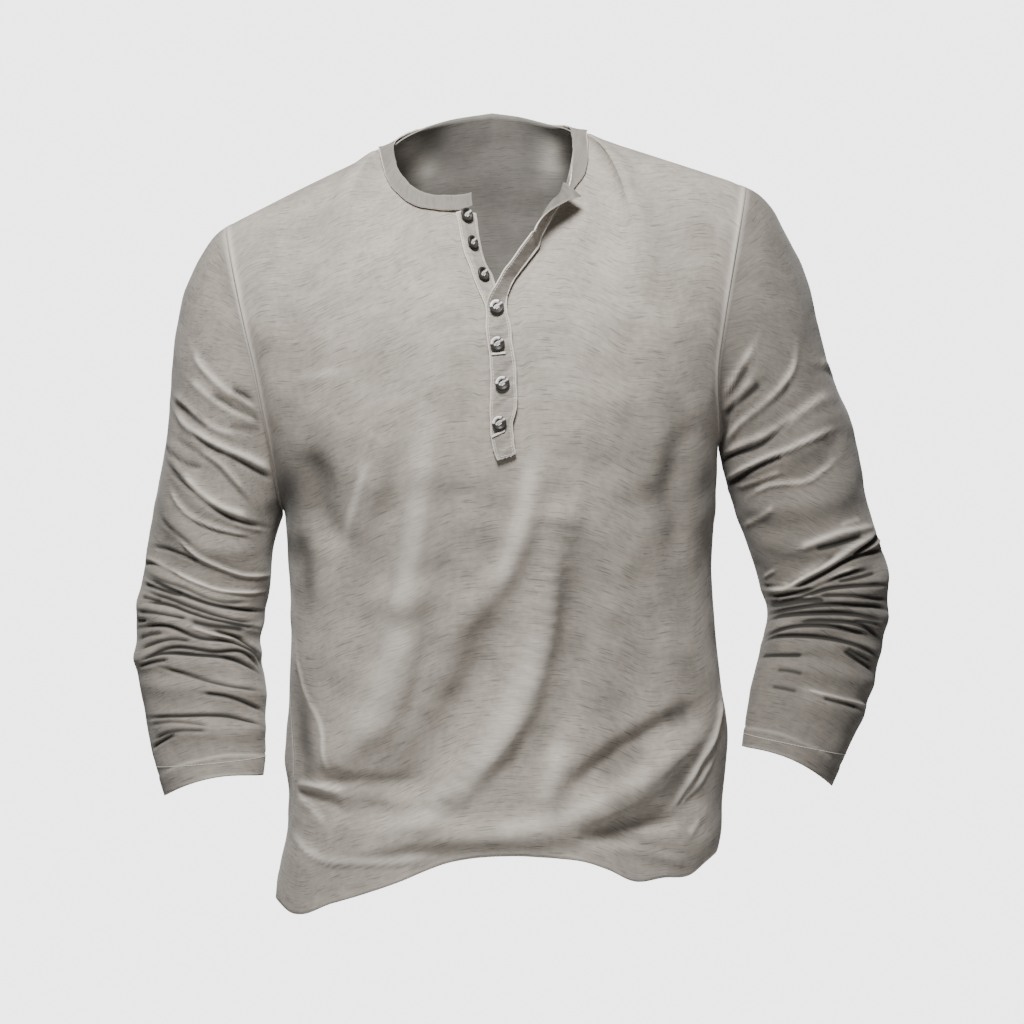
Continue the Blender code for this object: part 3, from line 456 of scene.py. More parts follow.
# %% Folds of the torso and the half panels
# On the torso a fold runs from start over bend to end, in the front view; width is half its
# breadth and height how far it stands out, negative for a trough.
Fold = namedtuple("Fold", "start_x start_z bend_x bend_z end_x end_z width height")
FOLDS = {
    "front": table(Fold, """
 -46 -270  -50 -330  -74 -420 15  4.5
 -74 -420  -90 -500 -130 -560 20  7.5
  56 -306   38 -390   -8 -440 14  4.5
  68 -350   50 -500  -50 -610 18    8
  68 -570   60 -600   55 -622 16  4.5
-130 -645  -60 -632   40 -628 13    5
 180 -550  130 -600   80 -630 15  5.5
-135 -330 -110 -400 -100 -460 26   -5
 186 -530  140 -560  100 -580 16   -5
  75 -640  140 -625  186 -600 12 -4.5
 120 -300  150 -340  175 -420 26   -5
   0 -480  -30 -560  -90 -600 16   -5
 -20 -330  -30 -420  -60 -520 14 -3.5
""", MM),
    "back": table(Fold, """
 -20 -120 -10 -260  -40 -400 20    4
  80 -200  50 -330   70 -440 18  4.5
-100 -240 -80 -340 -110 -430 18 -4.5
-150 -470 -40 -500   50 -480 14    6
 160 -500  60 -540  -30 -530 14  5.5
-120 -520 -40 -540   30 -515 12 -4.5
-140 -560 -60 -590    0 -650 16    5
 150 -560  90 -600   60 -655 16    5
""", MM),
}

def half_normals(grid, side, face):
    """Outward normals of a half panel: the grid turns one way on two halves, the other on two."""
    turn = side if face == "front" else -side
    return turn * surface_normals(grid)


def fold_height(points, face):
    """Sum of the folds at the given points: a bell across each fold's bent line."""
    total = np.zeros(points.shape[:-1])
    t = np.linspace(0, 1, 25)[:, None]
    for fold in FOLDS[face]:
        start = np.array([fold.start_x, fold.start_z])
        bend = np.array([fold.bend_x, fold.bend_z])
        end = np.array([fold.end_x, fold.end_z])
        line = start * (1 - t) ** 2 + bend * 2 * t * (1 - t) + end * t * t
        gap = points[..., None, [0, 2]] - line
        nearest = np.min(np.sum(gap * gap, axis=-1), axis=-1)
        total += fold.height * np.exp(-nearest / fold.width ** 2)
    return total


print("large folds:", {face: len(folds) for face, folds in FOLDS.items()})

# %% [markdown]
# A half panel has two parts. The lower one goes from the hem to the chest row by heights. The yoke
# above it is a smooth curve that leaves the chest row as the cloth runs there and arrives at the
# top row as the table of arrivals says. Then the folds push it out or in.

# %% Half panels
def panel_half(side, face):
    """Grid of one half of a panel: columns from the side to the centre, rows from hem to top."""
    neck_share = SHOULDER_COLUMNS / (SHOULDER_COLUMNS + NECK_COLUMNS)
    u = np.concatenate([np.linspace(0, neck_share, SHOULDER_COLUMNS + 1),
                        np.linspace(neck_share, 1, NECK_COLUMNS + 1)[1:]])
    neck_u = u[SHOULDER_COLUMNS]
    levels = np.concatenate([np.linspace(0, 1, HEM_ROWS + 1)[:-1],
                             np.linspace(1, 2, ARMHOLE_ROWS + 1)])
    lower = np.stack([girth(u, np.full_like(u, lv), side, face) for lv in levels], axis=1)

    chest = lower[:, -1]
    below = girth(u, np.full_like(u, CHEST_TANGENT), side, face)
    top = top_row(u, neck_u, side, face)
    place = np.where(u < neck_u, u / neck_u, 1 + (u - neck_u) / (1 - neck_u))
    over = 1 if face == "front" else -1
    inward = "drawn" if (side, face) == (1, "front") else "inward"
    arrive = unit(np.stack([-side * read(ARRIVALS, inward, place, by="place"),
                            over * read(ARRIVALS, "over", place, by="place"),
                            read(ARRIVALS, "up", place, by="place")], axis=-1))
    chord = np.linalg.norm(top - chest, axis=-1, keepdims=True)
    leave = unit(chest - below) * chord
    arrive = arrive * chord
    h = np.linspace(0, 1, YOKE_ROWS + 1)[1:, None, None]
    rise = h * h * (3 - 2 * h)
    yoke = (chest * (1 - rise) + top * rise
            + leave * h * (1 - h) ** 2 - arrive * h * h * (1 - h))
    grid = np.concatenate([lower, np.swapaxes(yoke, 0, 1)], axis=1)

    if face == "front":
        slit_shift(grid, u, side)
    normals = half_normals(grid, side, face)
    fade = ease(u / FOLD_MARGIN)[:, None] * np.ones(grid.shape[1])[None, :]
    return grid + normals * (fold_height(grid, face) * fade)[..., None]


def join_middle(halves, face):
    """Gives both halves the same middle column, on the front only as far up as the armpit row."""
    seam = (halves[-1][-1] + halves[1][-1]) / 2
    rows = slice(0, HEM_ROWS + 1) if face == "front" else slice(None)
    halves[-1][-1, rows] = seam[rows]
    halves[1][-1, rows] = seam[rows]


fronts = {side: panel_half(side, "front") for side in (-1, 1)}
backs = {side: panel_half(side, "back") for side in (-1, 1)}
join_middle(fronts, "front")
join_middle(backs, "back")
print("torso grids:", fronts[1].shape, "columns, rows, coordinates")

# %% [markdown]
# ## Sleeves
# A sleeve is a pipe of slanting rings. Its first ring is the armhole itself, which the two panels
# leave open, and the last is the cuff. The pushed-up forearm crowds into folds across the arm.

# %% Sleeve rings and their folds
UNDERARM_ANGLE = 0.30 * pi    # half the arc under the arm where the sleeve runs sideways
FIRST_RING = 0.004        # length of the sleeve's first ring, which carries the seam's direction
SLEEVE_HEAD = 0.08        # shares of the sleeve's length with no creases, at the armhole
CUFF_SHARE = 0.05         # and at the cuff
CREASE_STEEPNESS = 1.8    # how fast a crease fades out at its ends

# On a sleeve a fold crosses the arm: outer, front and inner give its place down the sleeve
# (0 armhole, 1 cuff) at those sides, reach how far round the arm it runs in degrees.
Crease = namedtuple("Crease", "middle reach outer front inner width height")
CREASES = {
    -1: table(Crease, """
 70  95  0.30  0.36  0.18 0.016  0.0045
 80  90  0.37  0.45  0.30 0.014  0.0045
 75  95  0.47  0.53  0.47 0.014 -0.0035
 90 150  0.60  0.63  0.62 0.010  0.0050
120 120 0.655 0.675  0.69 0.010  0.0045
 60 140 0.715  0.72  0.75 0.010  0.0055
100 140 0.765 0.775  0.80 0.010  0.0045
110 120  0.86 0.875 0.885 0.010  0.0040
250 120  0.62  0.61  0.60 0.012  0.0050
260 120  0.74  0.73  0.75 0.012  0.0045
"""),
    1: table(Crease, """
100  95  0.28  0.32 0.22 0.016 0.0045
 90 100  0.40  0.44 0.33 0.014 0.0045
 80 100  0.50  0.52 0.47 0.012 0.0040
 60 130 0.585  0.64 0.66 0.012 0.0045
 90 150  0.68  0.69 0.70 0.010 0.0050
 90 130 0.745 0.735 0.73 0.010 0.0045
 60 120  0.81  0.79 0.78 0.010 0.0040
 60 110  0.88  0.86 0.87 0.012 0.0035
255 120  0.63  0.62 0.60 0.012 0.0050
250 120  0.73  0.72 0.74 0.012 0.0045
"""),
}

# The outer and inner point of the ring in the front view, the ring's centre depth y and its
# half depth.
Ring = namedtuple("Ring", "outer_x outer_z inner_x inner_z y depth")
SLEEVES = {
    -1: table(Ring, """
  -258 -103 -184.5   -346   3 69
-272.7 -134 -186.5   -351   3 69
-281.9 -173 -188.5   -357   3 68
-287.4 -221 -190.7 -365.2   3 66
-290.2 -267 -192.6 -375.4   3 64
-297.6 -311 -194.4 -389.2   3 62
-304.8 -351 -195.2 -404.8   2 59
-310.9 -388 -197.8 -421.3   0 57
-316.9 -427   -203 -443.3  -4 56
-316.9 -464 -204.2 -470.5 -12 55
  -311 -505 -199.6 -502.8 -24 52
  -303 -545 -197.7 -538.4 -38 47
-295.6 -572 -196.9 -563.1 -48 43
-286.6 -598 -198.1 -579.6 -56 40
""", MM),
    1: table(Ring, """
264.4  -62 217.2   -285   3 69
281.9  -92 218.2 -289.5   3 69
299.4 -133 219.5 -295.5   3 68
310.4 -178 221.5 -304.4   3 67
321.5 -217 224.8 -316.4   3 65
336.2 -252 229.4   -333   3 63
347.3 -296 234.9 -351.4   3 60
354.5 -336 242.2 -370.7   2 58
366.2 -377 252.1 -395.6   0 56
371.2 -423   261 -428.6  -4 55
  366 -460 256.9 -459.6 -10 53
356.6 -496 248.8 -484.8 -20 50
343.4 -533 241.5 -518.8 -32 46
330.6 -560 237.2 -541.8 -42 43
316.2 -590   235   -554 -50 40
""", MM),
}

print("rings and folds of a sleeve:", len(SLEEVES[-1]), len(CREASES[-1]))

# %% [markdown]
# A sleeve starts at the armhole, where its cloth runs on in the direction of the panels at the top
# and straight sideways under the arm. Smooth curves run from there through the table's rings. Each
# fold is a bell across the sleeve with its own window round the arm.

# %% Sleeve grids
def armhole(front, back, side):
    """The armhole's points from the shoulder tip down the front and up the back.

    Also the direction in which the cloth runs on across each point of the seam.
    """
    points, runs = [], []
    for grid, face in ((front, "front"), (back, "back")):
        edge = grid[0, HEM_ROWS:]
        normal = half_normals(grid, side, face)[0, HEM_ROWS:]
        run = unit(np.cross(np.gradient(edge, axis=0), normal))
        inside = grid[1, HEM_ROWS:] - edge
        run = np.where(np.sum(run * inside, axis=-1, keepdims=True) > 0, -run, run)
        points.append(edge)
        runs.append(run)
    shared = unit(runs[0] + runs[1])
    for run in runs:
        run[0], run[-1] = (0, 0, 1), shared[-1]
    loop = np.concatenate([points[0][::-1], points[1][1:-1]])
    return loop, np.concatenate([runs[0][::-1], runs[1][1:-1]])


def sleeve_grid(front, back, side):
    """Grid of a sleeve: columns round the arm, rings from the armhole to the cuff."""
    loop, runs = armhole(front, back, side)
    half = len(loop) // 2
    step = np.linalg.norm(np.roll(loop, -1, axis=0) - loop, axis=1)
    down, up = np.cumsum(step[:half]), np.cumsum(step[half:])
    around = pi * np.concatenate([[0], down / down[-1], 1 + up[:-1] / up[-1]])

    rings = []
    for ring in SLEEVES[side]:
        outer = np.array([ring.outer_x, ring.y, ring.outer_z])
        inner = np.array([ring.inner_x, ring.y, ring.inner_z])
        centre, axis = (outer + inner) / 2, (outer - inner) / 2
        depth = np.array([0, -ring.depth, 0])
        rings.append(centre + np.cos(around)[:, None] * axis + np.sin(around)[:, None] * depth)
    rings[-1] = rings[-1] + np.sin(around)[:, None] ** 2 * np.array([0, 0, CUFF_ARCH])

    sideways = np.array([side * 1.0, 0, 0.1])
    under = ease(1 - np.abs(around - pi) / UNDERARM_ANGLE)[:, None]
    leave = unit(runs * (1 - under) + sideways * under)
    start = loop + leave * SLEEVE_SEAM_GAP
    knots = np.stack([start] + rings)
    chords = norm(np.diff(knots, axis=0))
    lengths = np.concatenate([[0], np.cumsum(chords.mean(axis=1))])
    slope = leave * (chords[0] / lengths[1])[:, None]
    first = FIRST_RING / lengths[-1]
    places = np.concatenate([[0, first], np.linspace(first, 1, SLEEVE_RINGS)[1:]])
    grid = np.swapaxes(spline(places * lengths[-1], lengths, knots, slope), 0, 1)

    normals = tube_normals(grid, side)
    height = np.zeros(grid.shape[:2])
    for crease in CREASES[side]:
        angle = (np.degrees(around) - crease.middle + 180) % 360 - 180
        window = ease(CREASE_STEEPNESS * (1 - np.abs(angle) / crease.reach) - 0.4)[:, None]
        place = spline(np.abs(np.degrees(around) % 360 - 180) / 90,
                       (0, 1, 2), (crease.inner, crease.front, crease.outer))
        gap = (places[None, :] - place[:, None]) * lengths[-1]
        height += crease.height * window * bell(gap, crease.width)
    height *= ease((places - SLEEVE_HEAD) / SLEEVE_HEAD) * ease((1 - places) / CUFF_SHARE)
    return grid + normals * height[..., None]


print("points round an armhole:", len(armhole(fronts[1], backs[1], 1)[0]))

# %% [markdown]
# ## The eye
# The picture was taken level with the middle of the shirt, from three metres away with a long lens.
# The camera comes before the small creases, because those are noted as they look from there.

# %% Camera
eye = np.array([0.0267, -3.0, -0.3422])
camera_data = bpy.data.cameras.new("camera")
camera_data.lens = 114.6
camera_data.sensor_width = 36.0
camera = bpy.data.objects.new("camera", camera_data)
camera.location = eye
camera.rotation_euler = (pi / 2, 0.0, 0.0)
bpy.context.scene.collection.objects.link(camera)
bpy.context.scene.camera = camera
print("the camera stands at", eye)

# %% [markdown]
# ## Small creases
# A crease is a soft ridge or trough along a short line. Each is noted as it looks from in front, in
# millimetres on the upright plane through the shoulders, and is traced onto the cloth. Distances
# are then taken in space, so a crease runs on round the arm to the side that the picture hides. One
# flank of the ridge may be steeper (lean), as in thin jersey that buckles.

# %% Creases of the torso
# Each line: width, height and, where it isn't 0, lean, then the path.
Crinkle = namedtuple("Crinkle", "path width height lean", defaults=(0.0,))
SHARP = 5.0               # creases narrower than this get a tone of painted light and shade
CRINKLES = {}
CRINKLES["front"] = strokes(Crinkle, """
18 5 0 | -51,-270 -61,-345 -68,-455
17 8 0.2 | -68,-438 -78,-508 -100,-545 -134,-570
11 5.5 -0.2 | 46,-279 41,-345 20,-395 -14,-432
13 8 0.2 | 67,-385 58,-470 38,-530 0,-575 -30,-598
12 4.5 0.2 | -15,-590 -60,-607 -125,-600
12 7 0.2 | 200,-548 160,-580 115,-608 69,-634
12 5.5 0 | -165,-632 -55,-634 55,-640
18 -9 0 | -160,-279 -150,-331 -143,-385
13 -4.5 0 | -81,-314 -86,-367 -94,-455
17 -7 0 | 10,-410 -15,-499 -77,-578
14 -5 0 | 85,-445 72,-540 34,-598
20 -9 0 | 184,-255 178,-323 184,-390
10 -6 0 | 196,-521 140,-551 78,-598
8 -6 0 | 193,-630 140,-626 85,-641
8 -5 0 | -162,-584 -107,-592 -46,-590
5 2.2 0.3 | -99,-267 -109,-290 -118,-313
5 1 0 | -94,-252 -99,-267
11 2.2 0.2 | -46,-262 -51,-299 -53,-331 -72,-423
13 2.2 0.2 | -72,-423 -81,-478 -104,-520 -122,-561 -141,-580
8 2 -0.2 | 52,-294 34,-368 6,-423 -12,-442
9 2.4 0.2 | 71,-350 57,-442 34,-524 -3,-589 -49,-626 -81,-639
6 1 0 | 98,-276 92,-312 85,-350
6 2 0.3 | -141,-661 -76,-649 -15,-643 43,-642
8 1.8 0 | 71,-580 63,-610 57,-635
8 2.4 0.3 | 190,-561 144,-607 80,-644
9 -2.4 0 | 200,-543 154,-575 108,-598
7 -2.4 0 | 71,-658 144,-635 200,-612
3.5 1.6 0.4 | -171,-469 -163,-510 -150,-534 -143,-575 -140,-581
3.5 3 0.5 | -177,-590 -150,-593 -127,-599
5 -3 0 | -175,-597 -150,-606 -127,-618
4 1.8 0.3 | -176,-593 -159,-612 -145,-628
4 2.4 -0.3 | -178,-635 -159,-658 -122,-665 -49,-662
3.5 3.4 0.5 | 220,-512 216,-542 195,-585 174,-615
3 2 0.4 | 213,-570 200,-592 181,-612
3.5 1.8 0 | 200,-626 190,-639
5 2.6 0.3 | 80,-649 144,-653 190,-667
4 0.8 0 | -178,-221 -155,-215 -132,-212
16 -2.5 0 | -180,-330 -150,-345 -120,-380
16 -2.5 0 | 190,-290 160,-330 120,-350
14 1.6 0 | 130,-380 115,-450 125,-520
12 -2 0 | 10,-500 -15,-550 -50,-590
""")
CRINKLES["back"] = strokes(Crinkle, """
10 1.8 0.2 | -120,-200 -60,-230 0,-220
10 1.8 -0.2 | 140,-230 90,-260 40,-250
8 3 0.3 | -150,-380 -110,-420 -50,-440
8 3.3 0.3 | 170,-370 120,-410 60,-420
7 3.6 0.4 | -160,-455 -90,-480 -10,-470 60,-485
7 3.6 0.3 | 180,-470 120,-500 40,-505
6 3.3 0.3 | -165,-510 -110,-525 -40,-515
6 3 -0.3 | 150,-530 80,-550 0,-545
8 3.6 0.3 | -150,-560 -90,-590 -60,-640
8 3.6 0.3 | 170,-560 130,-600 110,-640
10 2.7 0 | -20,-560 0,-600 10,-650
9 1.5 0 | -60,-40 -75,-90 -70,-140
9 1.5 0 | 80,-40 95,-90 90,-150
""")
print("creases of the torso:", {piece: len(rows) for piece, rows in CRINKLES.items()})

# %% [markdown]
# On the sleeves, long slanting troughs run in from the armhole, and below the elbow, where the
# sleeve is pushed up, narrow cracks crowd between rounded rolls. A crack is a crease less than 5 mm
# wide.

# %% Creases of the sleeves
CRINKLES["sleeve_right"] = strokes(Crinkle, """
3.8 2.7 | -267,-193 -263,-201 -251,-217 -235,-231 -201,-250
3.8 -2.5 | -233,-228 -205,-244 -199,-250
3.8 -1.7 | -235,-233 -214,-247 -200,-254
3.8 -2.5 | -253,-232 -230,-246 -197,-262
3.8 2.2 | -271,-218 -258,-231 -241,-243 -218,-255 -203,-261
3.8 1.9 | -285,-233 -278,-238 -259,-258 -251,-263 -233,-270 -226,-270
3.8 -1.9 | -285,-239 -259,-261 -252,-266
3.8 -1.3 | -235,-264 -203,-266
4.5 3.2 | -285,-246 -276,-260 -261,-271 -235,-285 -216,-292 -194,-305
2.7 -2.4 | -271,-267 -251,-283 -235,-289 -207,-305 -198,-309 -192,-310
2.7 -1.3 | -287,-271 -269,-282 -251,-296 -213,-335
3.5 1.5 | -261,-286 -241,-298 -220,-323
2.7 -1.8 | -292,-279 -281,-293 -274,-298 -259,-302
2.7 -2.8 | -292,-294 -281,-308 -259,-330 -251,-336 -244,-341 -212,-355 -201,-356
4 3 | -278,-306 -256,-329 -248,-335 -214,-348
2.6 2.6 | -287,-320 -271,-345 -259,-352 -216,-365
2 -1.8 | -270,-348 -262,-353 -230,-363 -212,-367
2.6 1.6 | -230,-351 -218,-354 -212,-358 -203,-359
2.6 -1.6 | -297,-348 -269,-375
2 2.9 | -281,-367 -275,-373 -255,-388 -244,-392 -219,-401 -211,-402 -204,-400 -197,-400
2 -2 | -306,-373 -298,-374 -260,-389
2 2.9 | -309,-384 -279,-400 -255,-411 -235,-416 -202,-416
2 -2.2 | -312,-390 -307,-388 -279,-402
2 -1.9 | -311,-397 -307,-400 -276,-411 -251,-423 -233,-426 -214,-425
2 -3.2 | -312,-401 -298,-408 -244,-429 -227,-432 -203,-434
2 -2.8 | -313,-408 -298,-412 -283,-419 -277,-419
2 -2.6 | -312,-413 -307,-416 -291,-421 -251,-436 -221,-443 -207,-443
2 -2.4 | -315,-420 -296,-424
2 -3 | -314,-425 -289,-427 -260,-438 -206,-450
2 -2.5 | -318,-434 -294,-436 -271,-441
3 -2.6 | -271,-442 -247,-448 -227,-449 -218,-451
2 -2.4 | -318,-442 -310,-442
2 -3 | -316,-449 -301,-446 -293,-446 -264,-458 -227,-463 -219,-466 -212,-470 -206,-477 \
  -204,-485
2 -2.8 | -249,-451 -218,-462 -205,-475
2.2 2.2 | -270,-448 -227,-461
2 -1.8 | -316,-459 -302,-454 -295,-454
2 -2.4 | -317,-469 -282,-459 -267,-462
2 -2.8 | -313,-477 -295,-469 -286,-467 -276,-467 -249,-471 -235,-471 -227,-468 -221,-470 \
  -215,-474 -205,-488
2 -3.2 | -318,-480 -302,-474 -284,-472 -275,-473 -219,-482 -204,-493
2 -2.6 | -317,-484 -302,-480 -289,-478
2 -2.2 | -297,-485 -233,-502 -203,-507
2 -2.6 | -259,-509 -230,-513 -203,-526
2 -2.8 | -309,-532 -279,-530 -224,-532 -217,-534 -202,-540
2 -1.6 | -306,-539 -294,-536 -251,-539
2 -2 | -303,-552 -290,-545 -253,-544
2 -2.6 | -304,-559 -291,-551 -283,-547
""")
CRINKLES["sleeve_left"] = strokes(Crinkle, """
3.8 2.7 | 250,-189 239,-206 228,-225 212,-250
3.8 -1.7 | 243,-205 231,-227 219,-241 216,-248
3.8 1.7 | 215,-254 219,-247 227,-244 238,-233 249,-217
3.8 -1.9 | 257,-222 243,-235 228,-245 223,-251 222,-255
3.8 2.9 | 289,-195 285,-212 280,-221 259,-243 231,-267 223,-282
3.8 -1.7 | 284,-222 278,-230 259,-246 241,-260
4.5 2.5 | 319,-232 301,-244 276,-263 266,-269 232,-283 219,-294
2.7 -2.4 | 287,-256 278,-262 255,-281 248,-284 224,-292 219,-296
3.2 3.2 | 324,-264 312,-269 294,-279 269,-289 242,-301 225,-314
2.7 -3 | 278,-289 242,-306 224,-317
2.7 2 | 274,-306 233,-320
2.7 2.6 | 328,-292 294,-315 273,-316 265,-317 250,-324 245,-328
3 1.6 | 269,-337 254,-348 241,-355
3.8 2 | 308,-204 320,-209 325,-213 326,-217
5.2 -1.4 | 323,-216 312,-213 302,-213
5.2 -1.4 | 329,-243 303,-253
5.2 -1.1 | 335,-271 323,-273
5.2 -1.5 | 331,-278 315,-285
3 1.6 | 347,-349 328,-355
4 2.8 | 361,-356 345,-358 289,-376
3 -2.4 | 351,-365 305,-377
4.5 3.8 | 363,-362 356,-365 315,-392 296,-401 284,-412 276,-413 261,-414
2.2 -2 | 326,-381 308,-393 278,-411
2.2 -4 | 364,-363 343,-381 339,-383
2 2.5 | 364,-367 358,-374 339,-384
2.2 -3.4 | 368,-377 361,-378 340,-384 299,-407 284,-413
2.2 2.6 | 342,-394 333,-397 305,-411 296,-413
2 -3.6 | 356,-394 332,-400 289,-417 264,-420
2 -2 | 362,-398 335,-405 326,-406
2 -3.2 | 372,-409 345,-410 318,-412 292,-421 264,-425
2.8 -3 | 315,-424 296,-423 278,-427 263,-428
2 2 | 305,-419 287,-421 269,-425
2 -2.4 | 371,-423 334,-419 308,-419
2 -3.2 | 372,-434 368,-431 342,-428 315,-427 287,-431 270,-434 262,-437
2.4 -2.8 | 370,-443 356,-439 319,-435 301,-435 273,-438 266,-439 262,-442
2 -1.8 | 366,-447 349,-442 341,-442
2 -3 | 365,-459 356,-450 350,-447 315,-442 289,-443
2 -3.2 | 354,-455 317,-447 271,-451 260,-456
2 -3 | 364,-476 351,-468 315,-458 305,-457 270,-457 263,-458 259,-461
2 -2.2 | 256,-475 295,-474
2 -2.4 | 332,-470 358,-488
2 -1.7 | 334,-467 357,-480
2 -1.3 | 270,-488 281,-488 294,-492
2 -1.3 | 265,-503 289,-507
2.2 2.6 | 299,-506 353,-522
2.4 -2 | 312,-513 345,-522
2 1.6 | 269,-396 259,-402
2 -1.6 | 280,-410 259,-410
""")
print("all creases:", {piece: len(rows) for piece, rows in CRINKLES.items()})

# %% [markdown]
# To place a crease, the cloth's points are drawn on the picture's plane by their sight lines. The
# nearest one that faces the eye is taken for each place of the path, and the line is smoothed a
# little, because the points of a grid lie a few millimetres apart.

# %% Tracing creases onto the cloth
def to_plane(points):
    """Where sight lines through the points cross the upright plane y = 0, in millimetres."""
    share = -eye[1] / (points[..., 1] - eye[1])
    x = eye[0] + (points[..., 0] - eye[0]) * share
    z = eye[2] + (points[..., 2] - eye[2]) * share
    return np.stack([x, z], axis=-1) * 1000


def traced(path, points, facing, spacing=5.0):
    """A crease's line on the cloth: for each of its places the nearest point that faces the eye.

    facing is positive on the side that the line is noted for. Cloth on the other side is left out
    by adding a large distance to it.
    """
    corners = np.array(path, float)
    steps = run_length(corners)
    samples = max(5, int(steps[-1] / spacing))
    line = spline(np.linspace(0, steps[-1], samples), steps, corners)
    flat = to_plane(points)
    gap = norm(flat[None] - line[:, None]) + np.where(facing > 0, 0, 1e3)
    found = points[np.argmin(gap, axis=1)]
    for _ in range(4):
        found[1:-1] = (found[:-2] + found[1:-1] * 2 + found[2:]) / 4
    fine = np.linspace(0, samples - 1, samples * 3)
    return spline(fine, np.arange(samples), found)


def trace_all(name, points, facing):
    """Every crease of a piece with its line on the cloth."""
    return [(crease, traced(crease.path, points, facing)) for crease in CRINKLES[name]]


print("the eye looks from", *to_plane(np.array([0.1, 0.0, 0.1])), "mm at a point 0.1 m out and up")

# %% [markdown]
# Across a crease, the cloth rises in a bell and dips beside it. A crease less than 5 mm wide also
# has a tone: a crack gets painted shade, and a sharp crest turns lighter, partly from wear and
# partly as a painted highlight.

# %% The shape of a crease
def crinkled(grid, normals, traces):
    """How far each point moves along its normal by all the creases together, and its tone.

    Across a crease the height is a bell of the distance, wider on the side it leans away from,
    less a shallow bell twice as wide; along it, the height eases down at both ends. The tone of
    sharp creases goes from -1, painted shade in a crack, to 1 on a crest that is lighter partly
    from wear and partly as a painted highlight.
    """
    points, outward = grid.reshape(-1, 3), normals.reshape(-1, 3)
    total, tone = np.zeros(len(points)), np.zeros(len(points))
    for crease, line in traces:
        reach = crease.width * 0.001 * 4.5
        low, high = line.min(axis=0) - reach, line.max(axis=0) + reach
        near = np.all((points > low) & (points < high), axis=1)
        p, n = points[near], outward[near]
        gap = norm(p[:, None] - line[None])
        k = np.argmin(gap, axis=1)
        along = unit(np.gradient(line, axis=0))[k]
        offset = p - line[k]
        lengthwise = np.sum(offset * along, axis=-1)
        across = np.sum(offset * np.cross(along, n), axis=-1)
        width = crease.width * 0.001 * (1 + crease.lean * np.sign(across))
        profile = bell(across, width) - 0.3 * bell(across, 2.2 * width)
        place = k / (len(line) - 1)
        taper = 0.25 if crease.width > SHARP else 0.14
        ends = ease(place / taper) * ease((1 - place) / taper) * 0.8 + 0.2
        past = np.where((k == 0) | (k == len(line) - 1), np.abs(lengthwise), 0)
        thick = np.abs(np.sum(offset * n, axis=-1))
        fade = bell(past, crease.width * 0.003) * bell(thick, 0.03)
        total[near] += crease.height * 0.001 * profile * ends * fade
        # painted light and shade: cracks darker, crests lighter along with their wear
        if crease.width < SHARP:
            tone[near] += crease.height / 3 * bell(across, 0.8 * width) * ends * fade
    return total.reshape(grid.shape[:2]), np.clip(tone, -1, 1).reshape(grid.shape[:2])


narrow = [crease for rows in CRINKLES.values() for crease in rows if crease.width < SHARP]
print("sharp creases:", len(narrow))

# %% [markdown]
# Between its creases, washed jersey is never quite smooth. Waves of a few sizes and directions,
# each a sine of a slanting distance bent by another sine, give it a low uneven ripple of less than
# a millimetre.

# %% Ripples of washed jersey
RIPPLES = ((0.095, 0.0011), (0.060, 0.0008), (0.036, 0.0005), (0.022, 0.00028))   # length, height
WAVES_OF_A_SIZE = 3
def ripple(grid, seed):
    """Uneven ripple in metres: a sum of sine waves in random directions, bent by slower ones."""
    random = np.random.default_rng(seed)
    total = np.zeros(grid.shape[:2])
    for wave, height in RIPPLES:
        for _ in range(WAVES_OF_A_SIZE):
            way = unit(random.normal(size=3) * (1.0, 1.0, 1.6))
            side_way = unit(np.cross(way, random.normal(size=3)))
            bend = np.sin(grid @ side_way * (2 * pi / (wave * 2.3)) + random.uniform(0, 6.3))
            total += height / WAVES_OF_A_SIZE * np.sin((grid @ way * (2 * pi / wave)) + 1.3 * bend
                                         + random.uniform(0, 6.3))
    return total


def level_out(grid, has_slit):
    """Eases the grid's rows at armpit height, where the two ways of spacing rows meet."""
    across = from_side(grid)
    rows = np.arange(grid.shape[1]) - HEM_ROWS
    share = 0.5 * bell(rows, 6) * ease((across - 0.004) / 0.03)
    if has_slit:
        share = share * ease((across[-1:] - across - 0.012) / 0.03)
    for _ in range(40):
        mean = (grid[:, :-2] + grid[:, 2:]) / 2
        grid[:, 1:-1] += (mean - grid[:, 1:-1]) * share[:, 1:-1, None]


print("the ripple reaches", round(np.abs(ripple(fronts[1], 7)).max() * 1000, 2), "mm")
